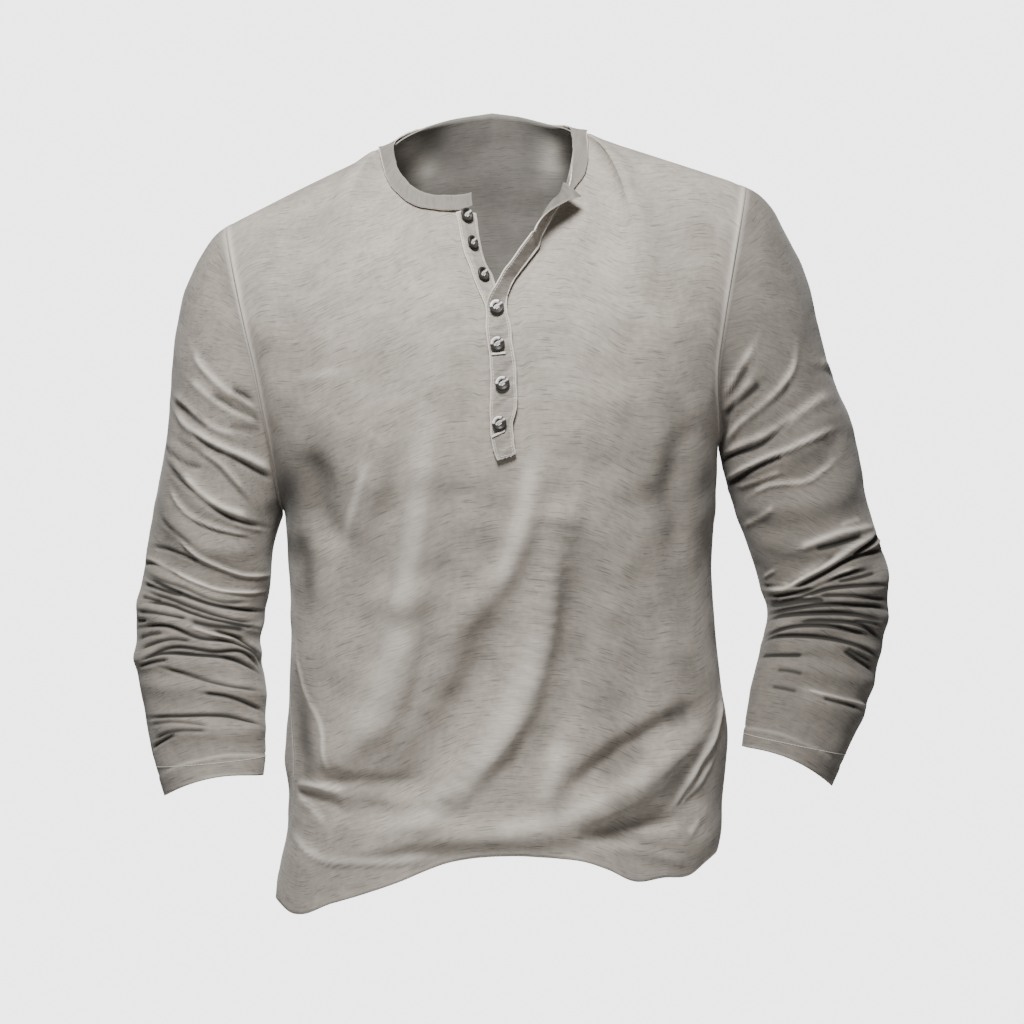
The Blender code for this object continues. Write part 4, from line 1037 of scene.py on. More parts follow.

# %% [markdown]
# Broad strokes of painted light and shade go with the creases: painted light on the crests that
# show and in the corners inside the back's neck, painted shade on the sides under the arms and
# between the folds. A stroke runs softly along a path, with its half width and its strength, from
# -1 for dark to
# 1 for light.

# %% Painted light and shade on the torso
# Each line: width and strength, then the path.
Fade = namedtuple("Fade", "path width strength")
PAINTED_LIGHT_AND_SHADE = {
    "front": strokes(Fade, """
17 0.42 | -54,-276 -58,-313 -60,-350 -63,-386 -73,-423 -78,-460 -87,-497 -102,-529 \
  -122,-559 -145,-581
12 0.6 | 60,-437 47,-469 38,-497 21,-532 5,-563 -12,-592 -38,-613 -69,-633 -102,-642
9 0.42 | 45,-285 40,-322 34,-359 23,-388 12,-423
9 0.3 | 71,-547 65,-584 48,-612
8 0.35 | 117,-605 94,-616 71,-624 34,-633 -3,-640
9 0.3 | 170,-589 140,-596
5 0.5 | -176,-423 -178,-469 -172,-506
17 -0.3 | 6,-423 -8,-460 -25,-497 -43,-534 -67,-563 -104,-584 -145,-592
26 -0.48 | -172,-267 -163,-308 -157,-359
11 -0.6 | -185,-296 -179,-350 -178,-386
9 -0.36 | -84,-290 -90,-322 -106,-354
7 -0.6 | -167,-350 -161,-386 -159,-432
7 -0.4 | -164,-506 -161,-538 -157,-598
26 -0.34 | 213,-271 195,-304 174,-331 163,-373
12 -0.25 | 207,-294 202,-350 203,-396
18 -0.24 | 190,-423 187,-478 190,-515
12 -0.4 | 156,-554 128,-569 104,-591
6 -0.4 | 108,-642 135,-640 158,-647
7 -0.5 | -176,-460 -171,-506 -166,-543 -163,-584
4 0.5 | -106,-287 -117,-331 -129,-373
18 -0.2 | 190,-60 211,-112
9 -0.5 | 167,-535 190,-528
34 -0.14 | 119,-368 117,-442 110,-524
24 -0.16 | -58,-237 -7,-248
24 -0.3 | 108,-267 154,-258 190,-225
14 -0.16 | 71,-396 85,-460 80,-506
"""),
    "back": strokes(Fade, """
15 1 | -74,2 -62,-17 -54,-39
13 0.9 | 73,7 67,-9 64,-33
12 -0.12 | 16,0 8,-46 3,-101
17 0.34 | 96,-215 84,-290 66,-352 70,-430
18 0.30 | -24,-150 -18,-240 -40,-330 -46,-402
16 -0.36 | -102,-240 -86,-318 -104,-402 -132,-452
13 0.38 | 150,-470 96,-512 20,-520 -36,-506
13 0.36 | -158,-476 -94,-500 -20,-488 44,-462
14 0.32 | 140,-556 92,-598 64,-650
14 0.30 | -138,-566 -70,-594 -12,-642
12 -0.40 | 146,-500 80,-541 10,-548
12 -0.36 | -146,-524 -72,-541 4,-520
"""),
}
# painted shade that darkens each sleeve evenly, the wearer's left one more
SLEEVE_PAINTED_SHADE = {-1: -0.30, 1: -0.58}
print("fades:", {face: len(strokes_of_light) for face, strokes_of_light in PAINTED_LIGHT_AND_SHADE.items()})

# %% [markdown]
# A stroke of painted light and shade is measured from the nearest place on its path, and grows
# weak towards both ends of it.

# %% The shape of a painted stroke
def lightened(points, strokes_of_light):
    """Painted light and shade at points, summed: strength times a bell of the distance from the
    path.
    """
    flat = to_plane(points)
    total = np.zeros(flat.shape[:-1])
    # a stroke is painted light where its strength is positive and painted shade where it is
    # negative
    for fade in strokes_of_light:
        path = np.array(fade.path, float)
        runs = np.diff(path, axis=0)
        lengths = np.linalg.norm(runs, axis=1)
        nearest, along = np.full(total.shape, np.inf), np.zeros(total.shape)
        for start, run, length, before in zip(path, runs, lengths, np.cumsum(lengths) - lengths):
            place = np.clip(np.sum((flat - start) * run, axis=-1) / length ** 2, 0, 1)
            gap = norm(flat - start - place[..., None] * run)
            along = np.where(gap < nearest, (before + place * length) / lengths.sum(), along)
            nearest = np.minimum(nearest, gap)
        ends = 0.25 + 0.75 * ease(along / 0.25) * ease((1 - along) / 0.25)
        total += fade.strength * bell(nearest, fade.width) * ends
    return total


print("tone at the first place of the first fade:",
      lightened(np.array([[-0.054, 0.0, -0.276]]), PAINTED_LIGHT_AND_SHADE["front"][:1]).round(3))

# %% [markdown]
# Now the half panels get their creases, ripples and tones, all moved out along the normals. The
# cloth stays calm where it is held: at the side seams, the shoulders, the neck and the placket. A
# low welt follows the armhole over the seam allowance.

# %% Creases and ripples on the torso
WELT_HEIGHT, WELT_WIDTH = 0.0009, 0.0024      # the armhole's seam allowance raises its edge
side_way, hem_way, tones, highest = {}, {}, {}, 0.0
for halves, face in ((fronts, "front"), (backs, "back")):
    for grid in halves.values():
        level_out(grid, face == "front")
    points = np.concatenate([halves[side].reshape(-1, 3) for side in (-1, 1)])
    traces = trace_all(face, points, np.ones(len(points)))
    for side in (-1, 1):
        grid = halves[side]
        normals = half_normals(grid, side, face)
        across, up = from_side(grid), from_hem(grid)
        below_top = up[:, -1:] - up
        to_middle = across[-1:] - across
        above_foot = ease((grid[..., 2] - SLIT_BOTTOM + 0.025) / 0.02)
        calm = 1 - (1 - ease((to_middle - 0.022) / 0.03)) * above_foot * (face == "front")
        calm = calm * ease((across - 0.002) / 0.016)
        necks = np.arange(grid.shape[0])[:, None] >= SHOULDER_COLUMNS - 2
        calm = calm * np.where(necks, ease((below_top - 0.014) / 0.02), ease(below_top / 0.012))
        small, tone = crinkled(grid, normals, traces)
        small = small + ripple(grid, 7)
        above = ease((np.arange(grid.shape[1]) - HEM_ROWS + 2) / 4)
        welt = WELT_HEIGHT * bell(across - 0.002, WELT_WIDTH) * above
        # tone: the sharp creases' painted shade and highlights, then the strokes of painted light
        # and shade
        tones[face, side] = np.clip(tone * calm + lightened(grid, PAINTED_LIGHT_AND_SHADE[face]), -1, 1)
        highest = max(highest, np.abs(small * calm).max())
        halves[side] = grid + normals * (small * calm + welt)[..., None]
        side_way[face, side], hem_way[face, side] = across, up
    join_middle(halves, face)
print("creases raise the torso by up to", round(highest * 1000, 1), "mm")

# %% [markdown]
# The sleeves first get more rings along the forearm, where the cracks crowd, and columns that are
# evenly spaced. The side of the arm that the picture hides takes the same kind of creases, a little
# lower. The cuff is turned up by two centimetres.

# %% Sleeves with their creases
HIDDEN_SHIFT = 0.009      # the side of the arm that the picture hides gets similar creases, lower
FINE_RINGS, FOREARM = 256, (0.44, 0.96)      # rings lie closer where the sleeve is pushed up
FINE_COLUMNS, UPPER_ARM = 184, slice(6, 70)  # columns lie closer where those rings stretch them


def with_fine_rings(grid):
    """The sleeve's grid with more rings, closer along the forearm, and evenly spaced columns."""
    place = np.linspace(0, 1, 400)
    close = 1 + 0.9 * ease((place - FOREARM[0]) / 0.08) * ease((FOREARM[1] - place) / 0.04)
    steps = np.cumsum(close) - close[0]
    at = np.interp(np.linspace(0, steps[-1], FINE_RINGS), steps, place)
    old = np.linspace(0, 1, grid.shape[1])
    grid = np.swapaxes(spline(at, old, np.swapaxes(grid, 0, 1)), 0, 1)
    count, extra = len(grid), 4
    gaps = norm(np.roll(grid, -1, axis=0) - grid)[:, UPPER_ARM].max(axis=1)
    gaps = (np.roll(gaps, 1) + gaps * 2 + np.roll(gaps, -1)) / 4 + 0.35 * gaps.mean()
    steps = np.concatenate([[0], np.cumsum(gaps)])
    at = np.interp(np.linspace(0, steps[-1], FINE_COLUMNS + 1)[:-1], steps, np.arange(count + 1))
    ring = np.arange(-extra, count + extra)
    return spline(at, ring, grid[ring % count])


sleeves, sleeve_tone = {}, {}
for side, name in ((-1, "sleeve_right"), (1, "sleeve_left")):
    grid = with_fine_rings(sleeve_grid(fronts[side], backs[side], side))
    normals = tube_normals(grid, side)
    lowered = grid + (0, 0, HIDDEN_SHIFT)
    toward = -normals[..., 1].reshape(-1)
    seen, light = crinkled(grid, normals, trace_all(name, grid.reshape(-1, 3), toward))
    hidden, dim = crinkled(lowered, normals, trace_all(name, lowered.reshape(-1, 3), -toward))
    down = from_hem(grid)
    left_over = down[:, -1:] - down
    calm = ease((down - 0.004) / 0.014) * (0.35 + 0.65 * ease((left_over - 0.016) / 0.012))
    share = ease(0.5 - normals[..., 1] * 1.5)
    small = (seen * share + hidden * 0.8 * (1 - share) + ripple(grid, 20 + side) * 0.8) * calm
    groove = -0.0005 * bell(left_over - CUFF_HEM, 0.0016)
    hem = groove + 0.0004 * (left_over < CUFF_HEM - 0.001)
    sleeves[side] = grid + normals * (small + hem)[..., None]
    # the sleeve's tone: its creases' painted light and shade, and its even painted shade
    sleeve_tone[side] = (light * share + dim * (1 - share)) * calm + SLEEVE_PAINTED_SHADE[side]
    print(name, "grid", grid.shape, "creases up to", round(np.abs(small).max() * 1000, 1), "mm")

# %% [markdown]
# ## From grids to cloth
# A grid becomes quads between its points. Two halves of a panel share the points of their middle
# column where the cloth is whole, so the slit stays open. Solidify grows the wall inwards and
# closes every edge. Each piece carries its flat pattern as a UV map named cut, in metres, so that
# the knit has one scale everywhere, and two marks for the colour: wear, high along seams and edges,
# and a tone: painted light on crests, which have also worn lighter, and painted shade in cracks,
# folds and sheltered places.

# %% Mesh helpers
def quads(numbers, flip):
    """Four-cornered faces between neighbouring points of a grid of point numbers."""
    corners = [numbers[:-1, :-1], numbers[1:, :-1], numbers[1:, 1:], numbers[:-1, 1:]]
    if flip:
        corners = corners[::-1]
    return np.stack(corners, axis=-1).reshape(-1, 4)


def link(name, mesh, material):
    """A named object at the origin that rides on the shirt and takes its finish from a slot."""
    piece = bpy.data.objects.new(name, mesh)
    mesh.materials.append(material)
    mesh.shade_smooth()
    bpy.context.scene.collection.objects.link(piece)
    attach(piece, "root")
    return piece


def mark(mesh, name, values):
    """Stores a number at each point of a mesh."""
    field = mesh.attributes.new(name, "FLOAT", "POINT")
    field.data.foreach_set("value", values.reshape(-1).astype(np.float32))


def cloth_mesh(name, points, faces, cut, corners, wear, tone_and_painted_light):
    """A mesh with its flat pattern as the UV map named cut, and its marks of wear and painted
    light.
    """
    mesh = bpy.data.meshes.new(name)
    mesh.from_pydata(points.tolist(), [], faces.tolist())
    layer = mesh.uv_layers.new(name="cut")
    layer.data.foreach_set("uv", cut[corners].reshape(-1).astype(np.float32))
    mark(mesh, "wear", wear)
    mark(mesh, "tone_and_painted_light", tone_and_painted_light)
    return mesh


def thicken(piece, wall, pale_rim=False):
    """Gives the cloth its wall, inwards; its inner face and rim take the wrong side's painted
    shade.
    """
    piece.data.materials.append(SHADED_WRONG_SIDE)
    solidify = piece.modifiers.new("wall", "SOLIDIFY")
    solidify.thickness = wall
    solidify.offset = -1.0
    solidify.material_offset = 1
    solidify.material_offset_rim = 0 if pale_rim else 1


def cloth(name, parts, material, wall=WALL):
    """One piece of cloth from grids: each part is (points, numbers, flip, cut, wear,
    tone_and_painted_light).
    """
    points, cut, wear, tone_and_painted_light = (np.concatenate([p[k].reshape(-1, *size) for p in parts])
                                for k, size in ((0, (3,)), (3, (2,)), (4, ()), (5, ())))
    faces = np.concatenate([quads(p[1], p[2]) for p in parts])
    offsets = np.cumsum([0] + [p[1].size for p in parts])
    corners = np.concatenate([quads(np.arange(p[1].size).reshape(p[1].shape), p[2]) + offset
                              for p, offset in zip(parts, offsets)])
    used, faces = np.unique(faces, return_inverse=True)
    mesh = cloth_mesh(name, points[used], faces.reshape(-1, 4), cut, corners, wear[used],
                      tone_and_painted_light[used])
    piece = link(name, mesh, material)
    thicken(piece, wall, material is TRIM)
    return piece


def declare_cut(piece, grids):
    """The area is the sum over the quads of half the cross product of their diagonals.
    """
    area, width, length = 0.0, 0.0, 0.0
    for g in grids:
        first, second = g[1:, 1:] - g[:-1, :-1], g[1:, :-1] - g[:-1, 1:]
        area += norm(np.cross(first, second)).sum() / 2
        width += norm(np.diff(g, axis=0)).sum(axis=0).max()
        length = max(length, norm(np.diff(g, axis=1)).sum(axis=1).max())
    area, width, length = round(area, 4), round(width, 3), round(length, 3)
    print(f"{piece.name}: cut {width} by {length} m at the widest, {area} square metres")


print("faces of a grid of 3 by 3 points:", quads(np.arange(9).reshape(3, 3), False).tolist())

# %% [markdown]
# ## Materials
# Slub jersey is knitted from yarn of uneven thickness and two tones, so it shows dashes along its
# rows, broader streaks and fine specks. Washing fades it along seams and on ridges, and painted
# light and shade are added to the colour. The knit itself is a bump: rows of small Vs, about a
# millimetre apart. The arithmetic is written as Python expressions on sockets.

# %% A small language for shader arithmetic
class Field:
    """A number that varies over a surface. Arithmetic on it adds Math nodes."""

    def __init__(self, tree, socket):
        self.tree = tree
        self.socket = socket

    def math(self, operation, *others):
        return self.tree.add("ShaderNodeMath", {"operation": operation},
                             dict(enumerate((self, *others))))

    def __add__(self, other):
        return self.math("ADD", other)

    def __sub__(self, other):
        return self.math("SUBTRACT", other)

    def __mul__(self, other):
        return self.math("MULTIPLY", other)

    def between(self, low, high):
        """0 below low, 1 above high and straight between them."""
        return self.tree.add("ShaderNodeMapRange", {"clamp": True},
                             {"Value": self, "From Min": low, "From Max": high})


class Finish:
    """A material made node by node; add takes a node's type, its settings and its inputs."""

    def __init__(self, name):
        self.material = bpy.data.materials.new(name)
        self.material.use_nodes = True
        self.nodes = self.material.node_tree.nodes
        self.links = self.material.node_tree.links
        self.shader = self.nodes["Principled BSDF"]

    def add(self, kind, settings=None, inputs=None, output=0):
        node = self.nodes.new(kind)
        for setting, value in (settings or {}).items():
            setattr(node, setting, value)
        for socket, value in (inputs or {}).items():
            self.feed(node.inputs[socket], value)
        return Field(self, node.outputs[output])

    def feed(self, socket, value):
        if isinstance(value, Field):
            self.links.new(value.socket, socket)
        else:
            socket.default_value = value

    def noise(self, place, scale, detail=2.0, roughness=0.5):
        """Smooth random field between about 0.3 and 0.7 at the given scale, per metre."""
        return self.add("ShaderNodeTexNoise", {}, {"Vector": place, "Scale": scale,
                                                   "Detail": detail, "Roughness": roughness})

    def stretch(self, place, amounts):
        """The place multiplied by one number in each direction."""
        return self.add("ShaderNodeVectorMath", {"operation": "MULTIPLY"}, {0: place, 1: amounts})

    def mix(self, share, first, second, blend="MIX"):
        """Between two colours."""
        return self.add("ShaderNodeMix", {"data_type": "RGBA", "blend_type": blend},
                        {0: share, 6: first, 7: second}, output=2)

    def finish(self, **inputs):
        """Sets or links the shader's inputs, with underscores for their spaces."""
        for socket, value in inputs.items():
            self.feed(self.shader.inputs[socket.replace("_", " ")], value)
        return self.material


print("arithmetic on sockets:", [name for name in vars(Field) if not name.startswith("__")])

# %% [markdown]
# The jersey's tone is a weighted sum of fields: dashes and streaks along the rows, specks, a
# mottle, and thick dark slubs. Wear fades it. A second tone paints light and shade: towards the
# pale colour on crests, which are worn as well, and towards a near black in cracks and sheltered
# places.

# %% Jersey
WALE, COURSE = 0.0011, 0.0009      # widths of a column and a row of the knit


def jersey(name, dark, light, lightened, painted_light_colour=None, knit=0.00016):
    """Slub jersey: dashes, streaks and specks of two tones, worn paler, with painted light and
    shade.
    """
    f = Finish(name)
    cut = f.add("ShaderNodeUVMap", {"uv_map": "cut"})
    wear = f.add("ShaderNodeAttribute", {"attribute_name": "wear"}, output="Fac")
    tone_and_painted_light = f.add("ShaderNodeAttribute", {"attribute_name": "tone_and_painted_light"}, output="Fac")
    wander = f.noise(cut, 26.0, 3.0)
    dashes = f.noise(f.stretch(cut, (75.0, 800.0, 1.0)), 1.0, 3.0, 0.6)
    streaks = f.noise(f.stretch(cut, (14.0, 230.0, 1.0)), 1.0, 3.0, 0.6)
    specks = f.noise(cut, 1500.0, 1.0)
    mottle = f.noise(cut, 170.0, 2.0)
    slubs = f.noise(f.stretch(cut, (48.0, 720.0, 1.0)), 1.0, 2.0, 0.5)
    tone = ((dashes - 0.5) * 0.75 + (streaks - 0.5) * 0.6 + (specks - 0.5) * 0.5
            + (mottle - 0.5) * 0.6 + (wander - 0.5) * 0.9
            + (slubs * -1.0 + 0.41).between(0.0, 0.2) * -1.5 + 0.54)
    base = f.mix(tone.between(0.0, 1.0), (*dark, 1.0), (*light, 1.0))
    fade = (wear * (dashes * 0.8 + 0.45)).between(0.0, 1.0)
    worn = f.mix(fade, base, (*lightened, 1.0))
    # painted light and shade: a positive tone turns the colour pale, a negative one near black
    crest_and_painted_light = f.mix((tone_and_painted_light * (dashes + 0.3)).between(0.0, 1.0), worn, (*(painted_light_colour or lightened), 1.0))
    painted_shade_colour = tuple(c * 0.16 for c in dark)
    color = f.mix((tone_and_painted_light * -0.95).between(0.0, 1.0), crest_and_painted_light, (*painted_shade_colour, 1.0))
    u = f.add("ShaderNodeSeparateXYZ", {}, {0: cut}, output="X")
    v = f.add("ShaderNodeSeparateXYZ", {}, {0: cut}, output="Y")
    wale = (u * (2 * pi / WALE)).math("SINE")
    slant = (u * (2 * pi / WALE)).math("PINGPONG", 1.0) * 0.00035
    course = ((v + slant) * (2 * pi / COURSE)).math("SINE")
    height = (wale.math("ABSOLUTE") * 0.5 + course * 0.25) * 0.2 + dashes * 1.2 + specks * 0.6
    bump = f.add("ShaderNodeBump", {}, {"Height": height, "Distance": knit, "Strength": 0.8},
                 output="Normal")
    return f.finish(Base_Color=color, Roughness=0.93, Normal=bump, Sheen_Weight=0.16,
                    Sheen_Roughness=0.45, Specular_IOR_Level=0.18)


JERSEY = jersey("jersey", (0.205, 0.187, 0.163), (0.435, 0.388, 0.333), (0.76, 0.70, 0.62))
# the wrong side, for the inner faces, is a darker copy of the jersey: painted shade, with pale
# painted light
SHADED_WRONG_SIDE = jersey("jersey_wrong_side_shaded", (0.150, 0.139, 0.124), (0.240, 0.220, 0.196),
                    (0.24, 0.22, 0.19), painted_light_colour=(0.85, 0.79, 0.71))
TRIM = jersey("jersey_trim", (0.235, 0.214, 0.188), (0.475, 0.425, 0.368), (0.78, 0.72, 0.64))
print("materials:", JERSEY.name, SHADED_WRONG_SIDE.name, TRIM.name)


# %% [markdown]
# ## The panels and sleeves
# Each panel is two half grids that share their middle. The flat pattern runs outwards from the
# middle and up from the hem, so the slub dashes lie across the body as knitted rows do.

# %% Front and back
def worn_edges(face, side, grid):
    """Wear from 0 to 1: high at the armhole, less at the side seam, shoulder and hem."""
    across, up = side_way[face, side], hem_way[face, side]
    below_top = up[:, -1:] - up
    armhole_part = ease((np.arange(grid.shape[1]) - HEM_ROWS) / 6)
    wear = bell(across, 0.0035) * (0.25 + 0.75 * armhole_part)
    shoulder = (np.arange(grid.shape[0]) <= SHOULDER_COLUMNS)[:, None]
    wear = np.maximum(wear, 0.5 * bell(below_top, 0.003) * shoulder)
    return np.maximum(wear, 0.45 * bell(up, 0.0025))


def panel(name, halves, face, flips):
    """A whole panel: the right half's numbers come first, and the left half shares the middle."""
    parts = []
    shape = halves[-1].shape[:2]
    size = shape[0] * shape[1]
    numbers = np.arange(size).reshape(shape)
    other = numbers + size
    whole = slice(0, HEM_ROWS + 1) if face == "front" else slice(None)
    other[-1, whole] = numbers[-1, whole]
    for side, flip, count in ((-1, flips[0], numbers), (1, flips[1], other)):
        grid = halves[side]
        to_middle = side_way[face, side][-1:] - side_way[face, side]
        cut = np.stack([side * to_middle, hem_way[face, side]], axis=-1)
        parts.append((grid, count, flip, cut, worn_edges(face, side, grid), tones[face, side]))
    return cloth(name, parts, JERSEY)


def trim_edges(grid):
    """Draws the side seam and the shoulder seam back, which leaves the seam's gap."""
    seam = slice(0, HEM_ROWS + 1)
    grid[0, seam] += unit(grid[1, seam] - grid[0, seam]) * SIDE_SEAM_GAP / 2
    tops = slice(0, SHOULDER_COLUMNS + 1)
    grid[tops, -1] += unit(grid[tops, -2] - grid[tops, -1]) * SHOULDER_SEAM_GAP / 2


whole_fronts = {side: grid.copy() for side, grid in fronts.items()}
for grid in (*fronts.values(), *backs.values()):
    trim_edges(grid)
front = panel("front_cloth", fronts, "front", (False, True))
back = panel("back_cloth", backs, "back", (True, False))
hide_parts("front")
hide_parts("back")
declare_cut(front, fronts.values())
declare_cut(back, backs.values())


# %% [markdown]
# A sleeve is one tube. It is worn at the seam of the armhole, at the edge of the cuff and along the
# row of stitches two centimetres above that.

# %% Sleeves
def sleeve(name, grid, side, node):
    """A sleeve as one tube: its last column's faces run back to the first column."""
    numbers = np.arange(grid.shape[0] * grid.shape[1]).reshape(grid.shape[:2])
    closed = np.concatenate([numbers, numbers[:1]])
    round_grid = np.concatenate([grid, grid[:1]])
    down = from_hem(round_grid)
    left_over = down[:, -1:] - down
    cut = np.stack([from_side(round_grid), left_over], axis=-1).reshape(-1, 2)
    down, left_over = down[:-1], left_over[:-1]
    wear = np.maximum(0.5 * bell(left_over, 0.0022),
                      0.55 * bell(down, 0.004))
    wear = np.maximum(wear, 0.5 * bell(left_over - CUFF_HEM, 0.002))
    corners = quads(np.arange(closed.size).reshape(closed.shape), side < 0)
    mesh = cloth_mesh(name, grid.reshape(-1, 3), quads(closed, side < 0), cut, corners, wear,
                      sleeve_tone[side])
    piece = link(name, mesh, JERSEY)
    thicken(piece, WALL)
    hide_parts(node)
    declare_cut(piece, [round_grid])


sleeve("sleeve_right_cloth", sleeves[-1], -1, "sleeve_right")
sleeve("sleeve_left_cloth", sleeves[1], 1, "sleeve_left")

# %% [markdown]
# ## The placket
# Two strips finish the slit. The under strip carries the buttons and leans into the open neck; the
# over strip carries the buttonholes and its free edge stands off the chest. Each is measured across
# from its sewn side. Their long edges wander a little, as topstitched jersey does.

# %% The slit's edges and the strips
# How the two strips of the placket stand, by height: under leans into the neck, over stands
# off the chest, both in degrees.
Lean = namedtuple("Lean", "z under over")
LEANS = table(Lean, """
-0.320  4  4
-0.172  4  4
-0.160 12 18
-0.150 26 48
-0.135 42 61
-0.110 50 66
-0.085 49 68
-0.050 50 74
""")
PLACKET_BREAK = -0.160    # height where the two strips part
BREAK_LENGTH = 0.012      # over which they do so

print("leans:", len(LEANS), "rows")

# %% [markdown]
# An edge of the slit is kept with its normals and with the way that leads into the slit. A point of
# a strip then lies across from its own edge: flat for a few millimetres, and beyond that turned by
# the lean. Below the break both edges count, so that the strip bridges the slit.

# %% Points of a strip
class Edge:
    """A slit edge of the front: its points, outward normals and the way into the slit."""

    def __init__(self, grid, side):
        rows = slice(HEM_ROWS, None)
        self.points = grid[-1, rows].copy()
        edge_name = "under" if side < 0 else "over"
        self.points[0, 0] = read(SLITS, edge_name, self.points[0, 2])
        self.normals = half_normals(grid, side, "front")[-1, rows].copy()
        self.normals[0] = self.normals[1]
        along = np.gradient(self.points, axis=0)
        self.ways = unit(np.cross(along, self.normals)) * -side
        foot = self.points[0] - unit(self.points[1] - self.points[0]) * PLACKET_FOOT
        self.points = np.concatenate([[foot], self.points])
        self.normals = np.concatenate([self.normals[:1], self.normals])
        self.ways = np.concatenate([self.ways[:1], self.ways])
        self.z = self.points[:, 2]
        self.below_top = run_length(self.points[::-1])[::-1]

    def at(self, z):
        """Point, normal and way at the given height, straight between the panel's rows."""
        parts = [np.stack([np.interp(z, self.z, part[:, axis]) for axis in range(3)], -1)
                 for part in (self.points, self.normals, self.ways)]
        return parts[0], unit(parts[1]), unit(parts[2])

    def height(self, distance):
        """Height of the point that lies the given distance along the edge below its top."""
        return np.interp(distance, self.below_top[::-1], self.z[::-1])


def strip_point(own, other, z, across, lift, lean_name):
    """Point of a placket strip: across is measured from its sewn side, lift off the panel.

    Below the break the strip bridges the slit; above it the strip leans from its own edge.
    """
    point, normal, way = own.at(z)
    far, far_normal, _ = other.at(z)
    way_sign = 1 if lean_name == "over" else -1
    lean = way_sign * np.radians(read(LEANS, lean_name, z))[..., None]
    d = (across - PLACKET_LAP)[..., None]
    flat, free = np.minimum(d, PLACKET_BEND), np.maximum(d - PLACKET_BEND, 0)
    curl = np.where(free > 0, lean, 0)
    leaned = (point + way * (flat + free * np.cos(curl)) + normal * free * np.sin(curl)
              + (normal * np.cos(curl) - way * np.sin(curl)) * lift[..., None])
    width = np.linalg.norm(far - point, axis=-1, keepdims=True)
    share = d / width
    bridged = (point + (far - point) * share
               + unit(normal * (1 - share) + far_normal * share) * lift[..., None])
    closed = ease((PLACKET_BREAK - z) / BREAK_LENGTH + 1 / 3)[..., None]
    return bridged * closed + leaned * (1 - closed)


edges = {side: Edge(whole_fronts[side], side) for side in (-1, 1)}
print("the slit is open for", round(edges[1].below_top[0] * 1000), "mm of its edge")

# %% [markdown]
# A strip is doubled jersey, pressed and topstitched. The cloth beside its two long edges pulls them
# in by an amount that a table gives by height. The foot of the placket is boxed off a little askew
# with one round corner. The strips pucker between their stitches.

# %% How the strips' edges wander
# How far the sewn and the free edge of a strip are drawn in at a height, in millimetres.
Inset = namedtuple("Inset", "z sewn free")
INSETS = {
    "under": table(Inset, """
-0.291   2    7
-0.160 0.5    2
-0.142   0  1.5
-0.132   0 -0.8
-0.122   0  1.2
-0.105   0  0.2
-0.095   0  0.8
-0.050   0    1
"""),
    "over": table(Inset, """
-0.2973 -0.9   7
-0.2790  1.3 2.6
-0.2648  1.8 1.2
-0.2515 -0.9 0.9
-0.2375 -0.9 0.9
-0.2160    0 0.9
-0.1980  1.3   0
-0.1820  1.4   0
-0.1680  1.9 2.4
-0.1500  1.5   2
-0.1200    0   0
-0.0500    0   0
"""),
}
FOOT_SLANT = {"under": 0.0, "over": 0.0045}     # the sewn side of the foot is higher
FOOT_CORNER = 0.0035
STRIP_WAVES = ((0.034, 0.0004), (0.019, 0.00025), (0.0085, 0.00012))    # wave length, height
PUCKERS = ((0.013, 0.00020), (0.0068, 0.00018), (0.0037, 0.00010))
# The top of the over strip rolls outwards: by height, where its middle and its free edge lie from
# its sewn edge, in millimetres to the right, back and up.
Roll = namedtuple("Roll", "z mid_x mid_y mid_z free_x free_y free_z")
ROLLS = table(Roll, """
-0.100   -3 -10.5 0.9   -6   -21  1.8
-0.090 -3.7 -10.5 2.8   -6   -21  3.2
-0.080 -4.6   -10 5.5 -2.8 -20.5  3.5
-0.070   -5    -9 5.2  1.5   -19  0.9
-0.060 -3.2    -8 2.8  7.4   -16 -2.8
-0.050 -1.4    -6 3.7 12.9    -9 -9.8
""")
OVER_FACE = OVER_LIFT + 0.0004    # the puckered over strip stands a little higher
ROLL_MIDDLE = 0.45        # share of the strip's width where its middle is noted
TOPSTITCH = 0.0026        # distance of the topstitching from a strip's edge
print("rows of insets:", {name: len(rows) for name, rows in INSETS.items()})

# %% [markdown]
# The strip's grid runs from its foot up and from its sewn side to its free edge. A shallow groove
# follows each row of topstitching.

# %% Placket strips
STRIP_ROWS, STRIP_COLUMNS = 260, 34


def wander(distance, seed, waves=STRIP_WAVES):
    """Sum of sine waves of the distance, each with a phase of its own."""
    random = np.random.default_rng(seed)
    return sum(h * np.sin(distance * (2 * pi / w) + random.uniform(0, 6.3)) for w, h in waves)


def rolled_out(sewn, z, share):
    """The rolled flap: parabolas from the sewn edge through the noted middle to the free edge."""
    middle, free = (sewn + 0.001 * np.stack([read(ROLLS, f"{part}_{axis}", z)
                                             for axis in "xyz"], -1)
                    for part in ("mid", "free"))
    t = ROLL_MIDDLE
    bend = (middle - (1 - t) ** 2 * sewn - t ** 2 * free) / (2 * t * (1 - t))
    t = share[None, :, None]
    return ((1 - t) ** 2 * sewn[:, None] + 2 * t * (1 - t) * bend[:, None]
            + t ** 2 * free[:, None])


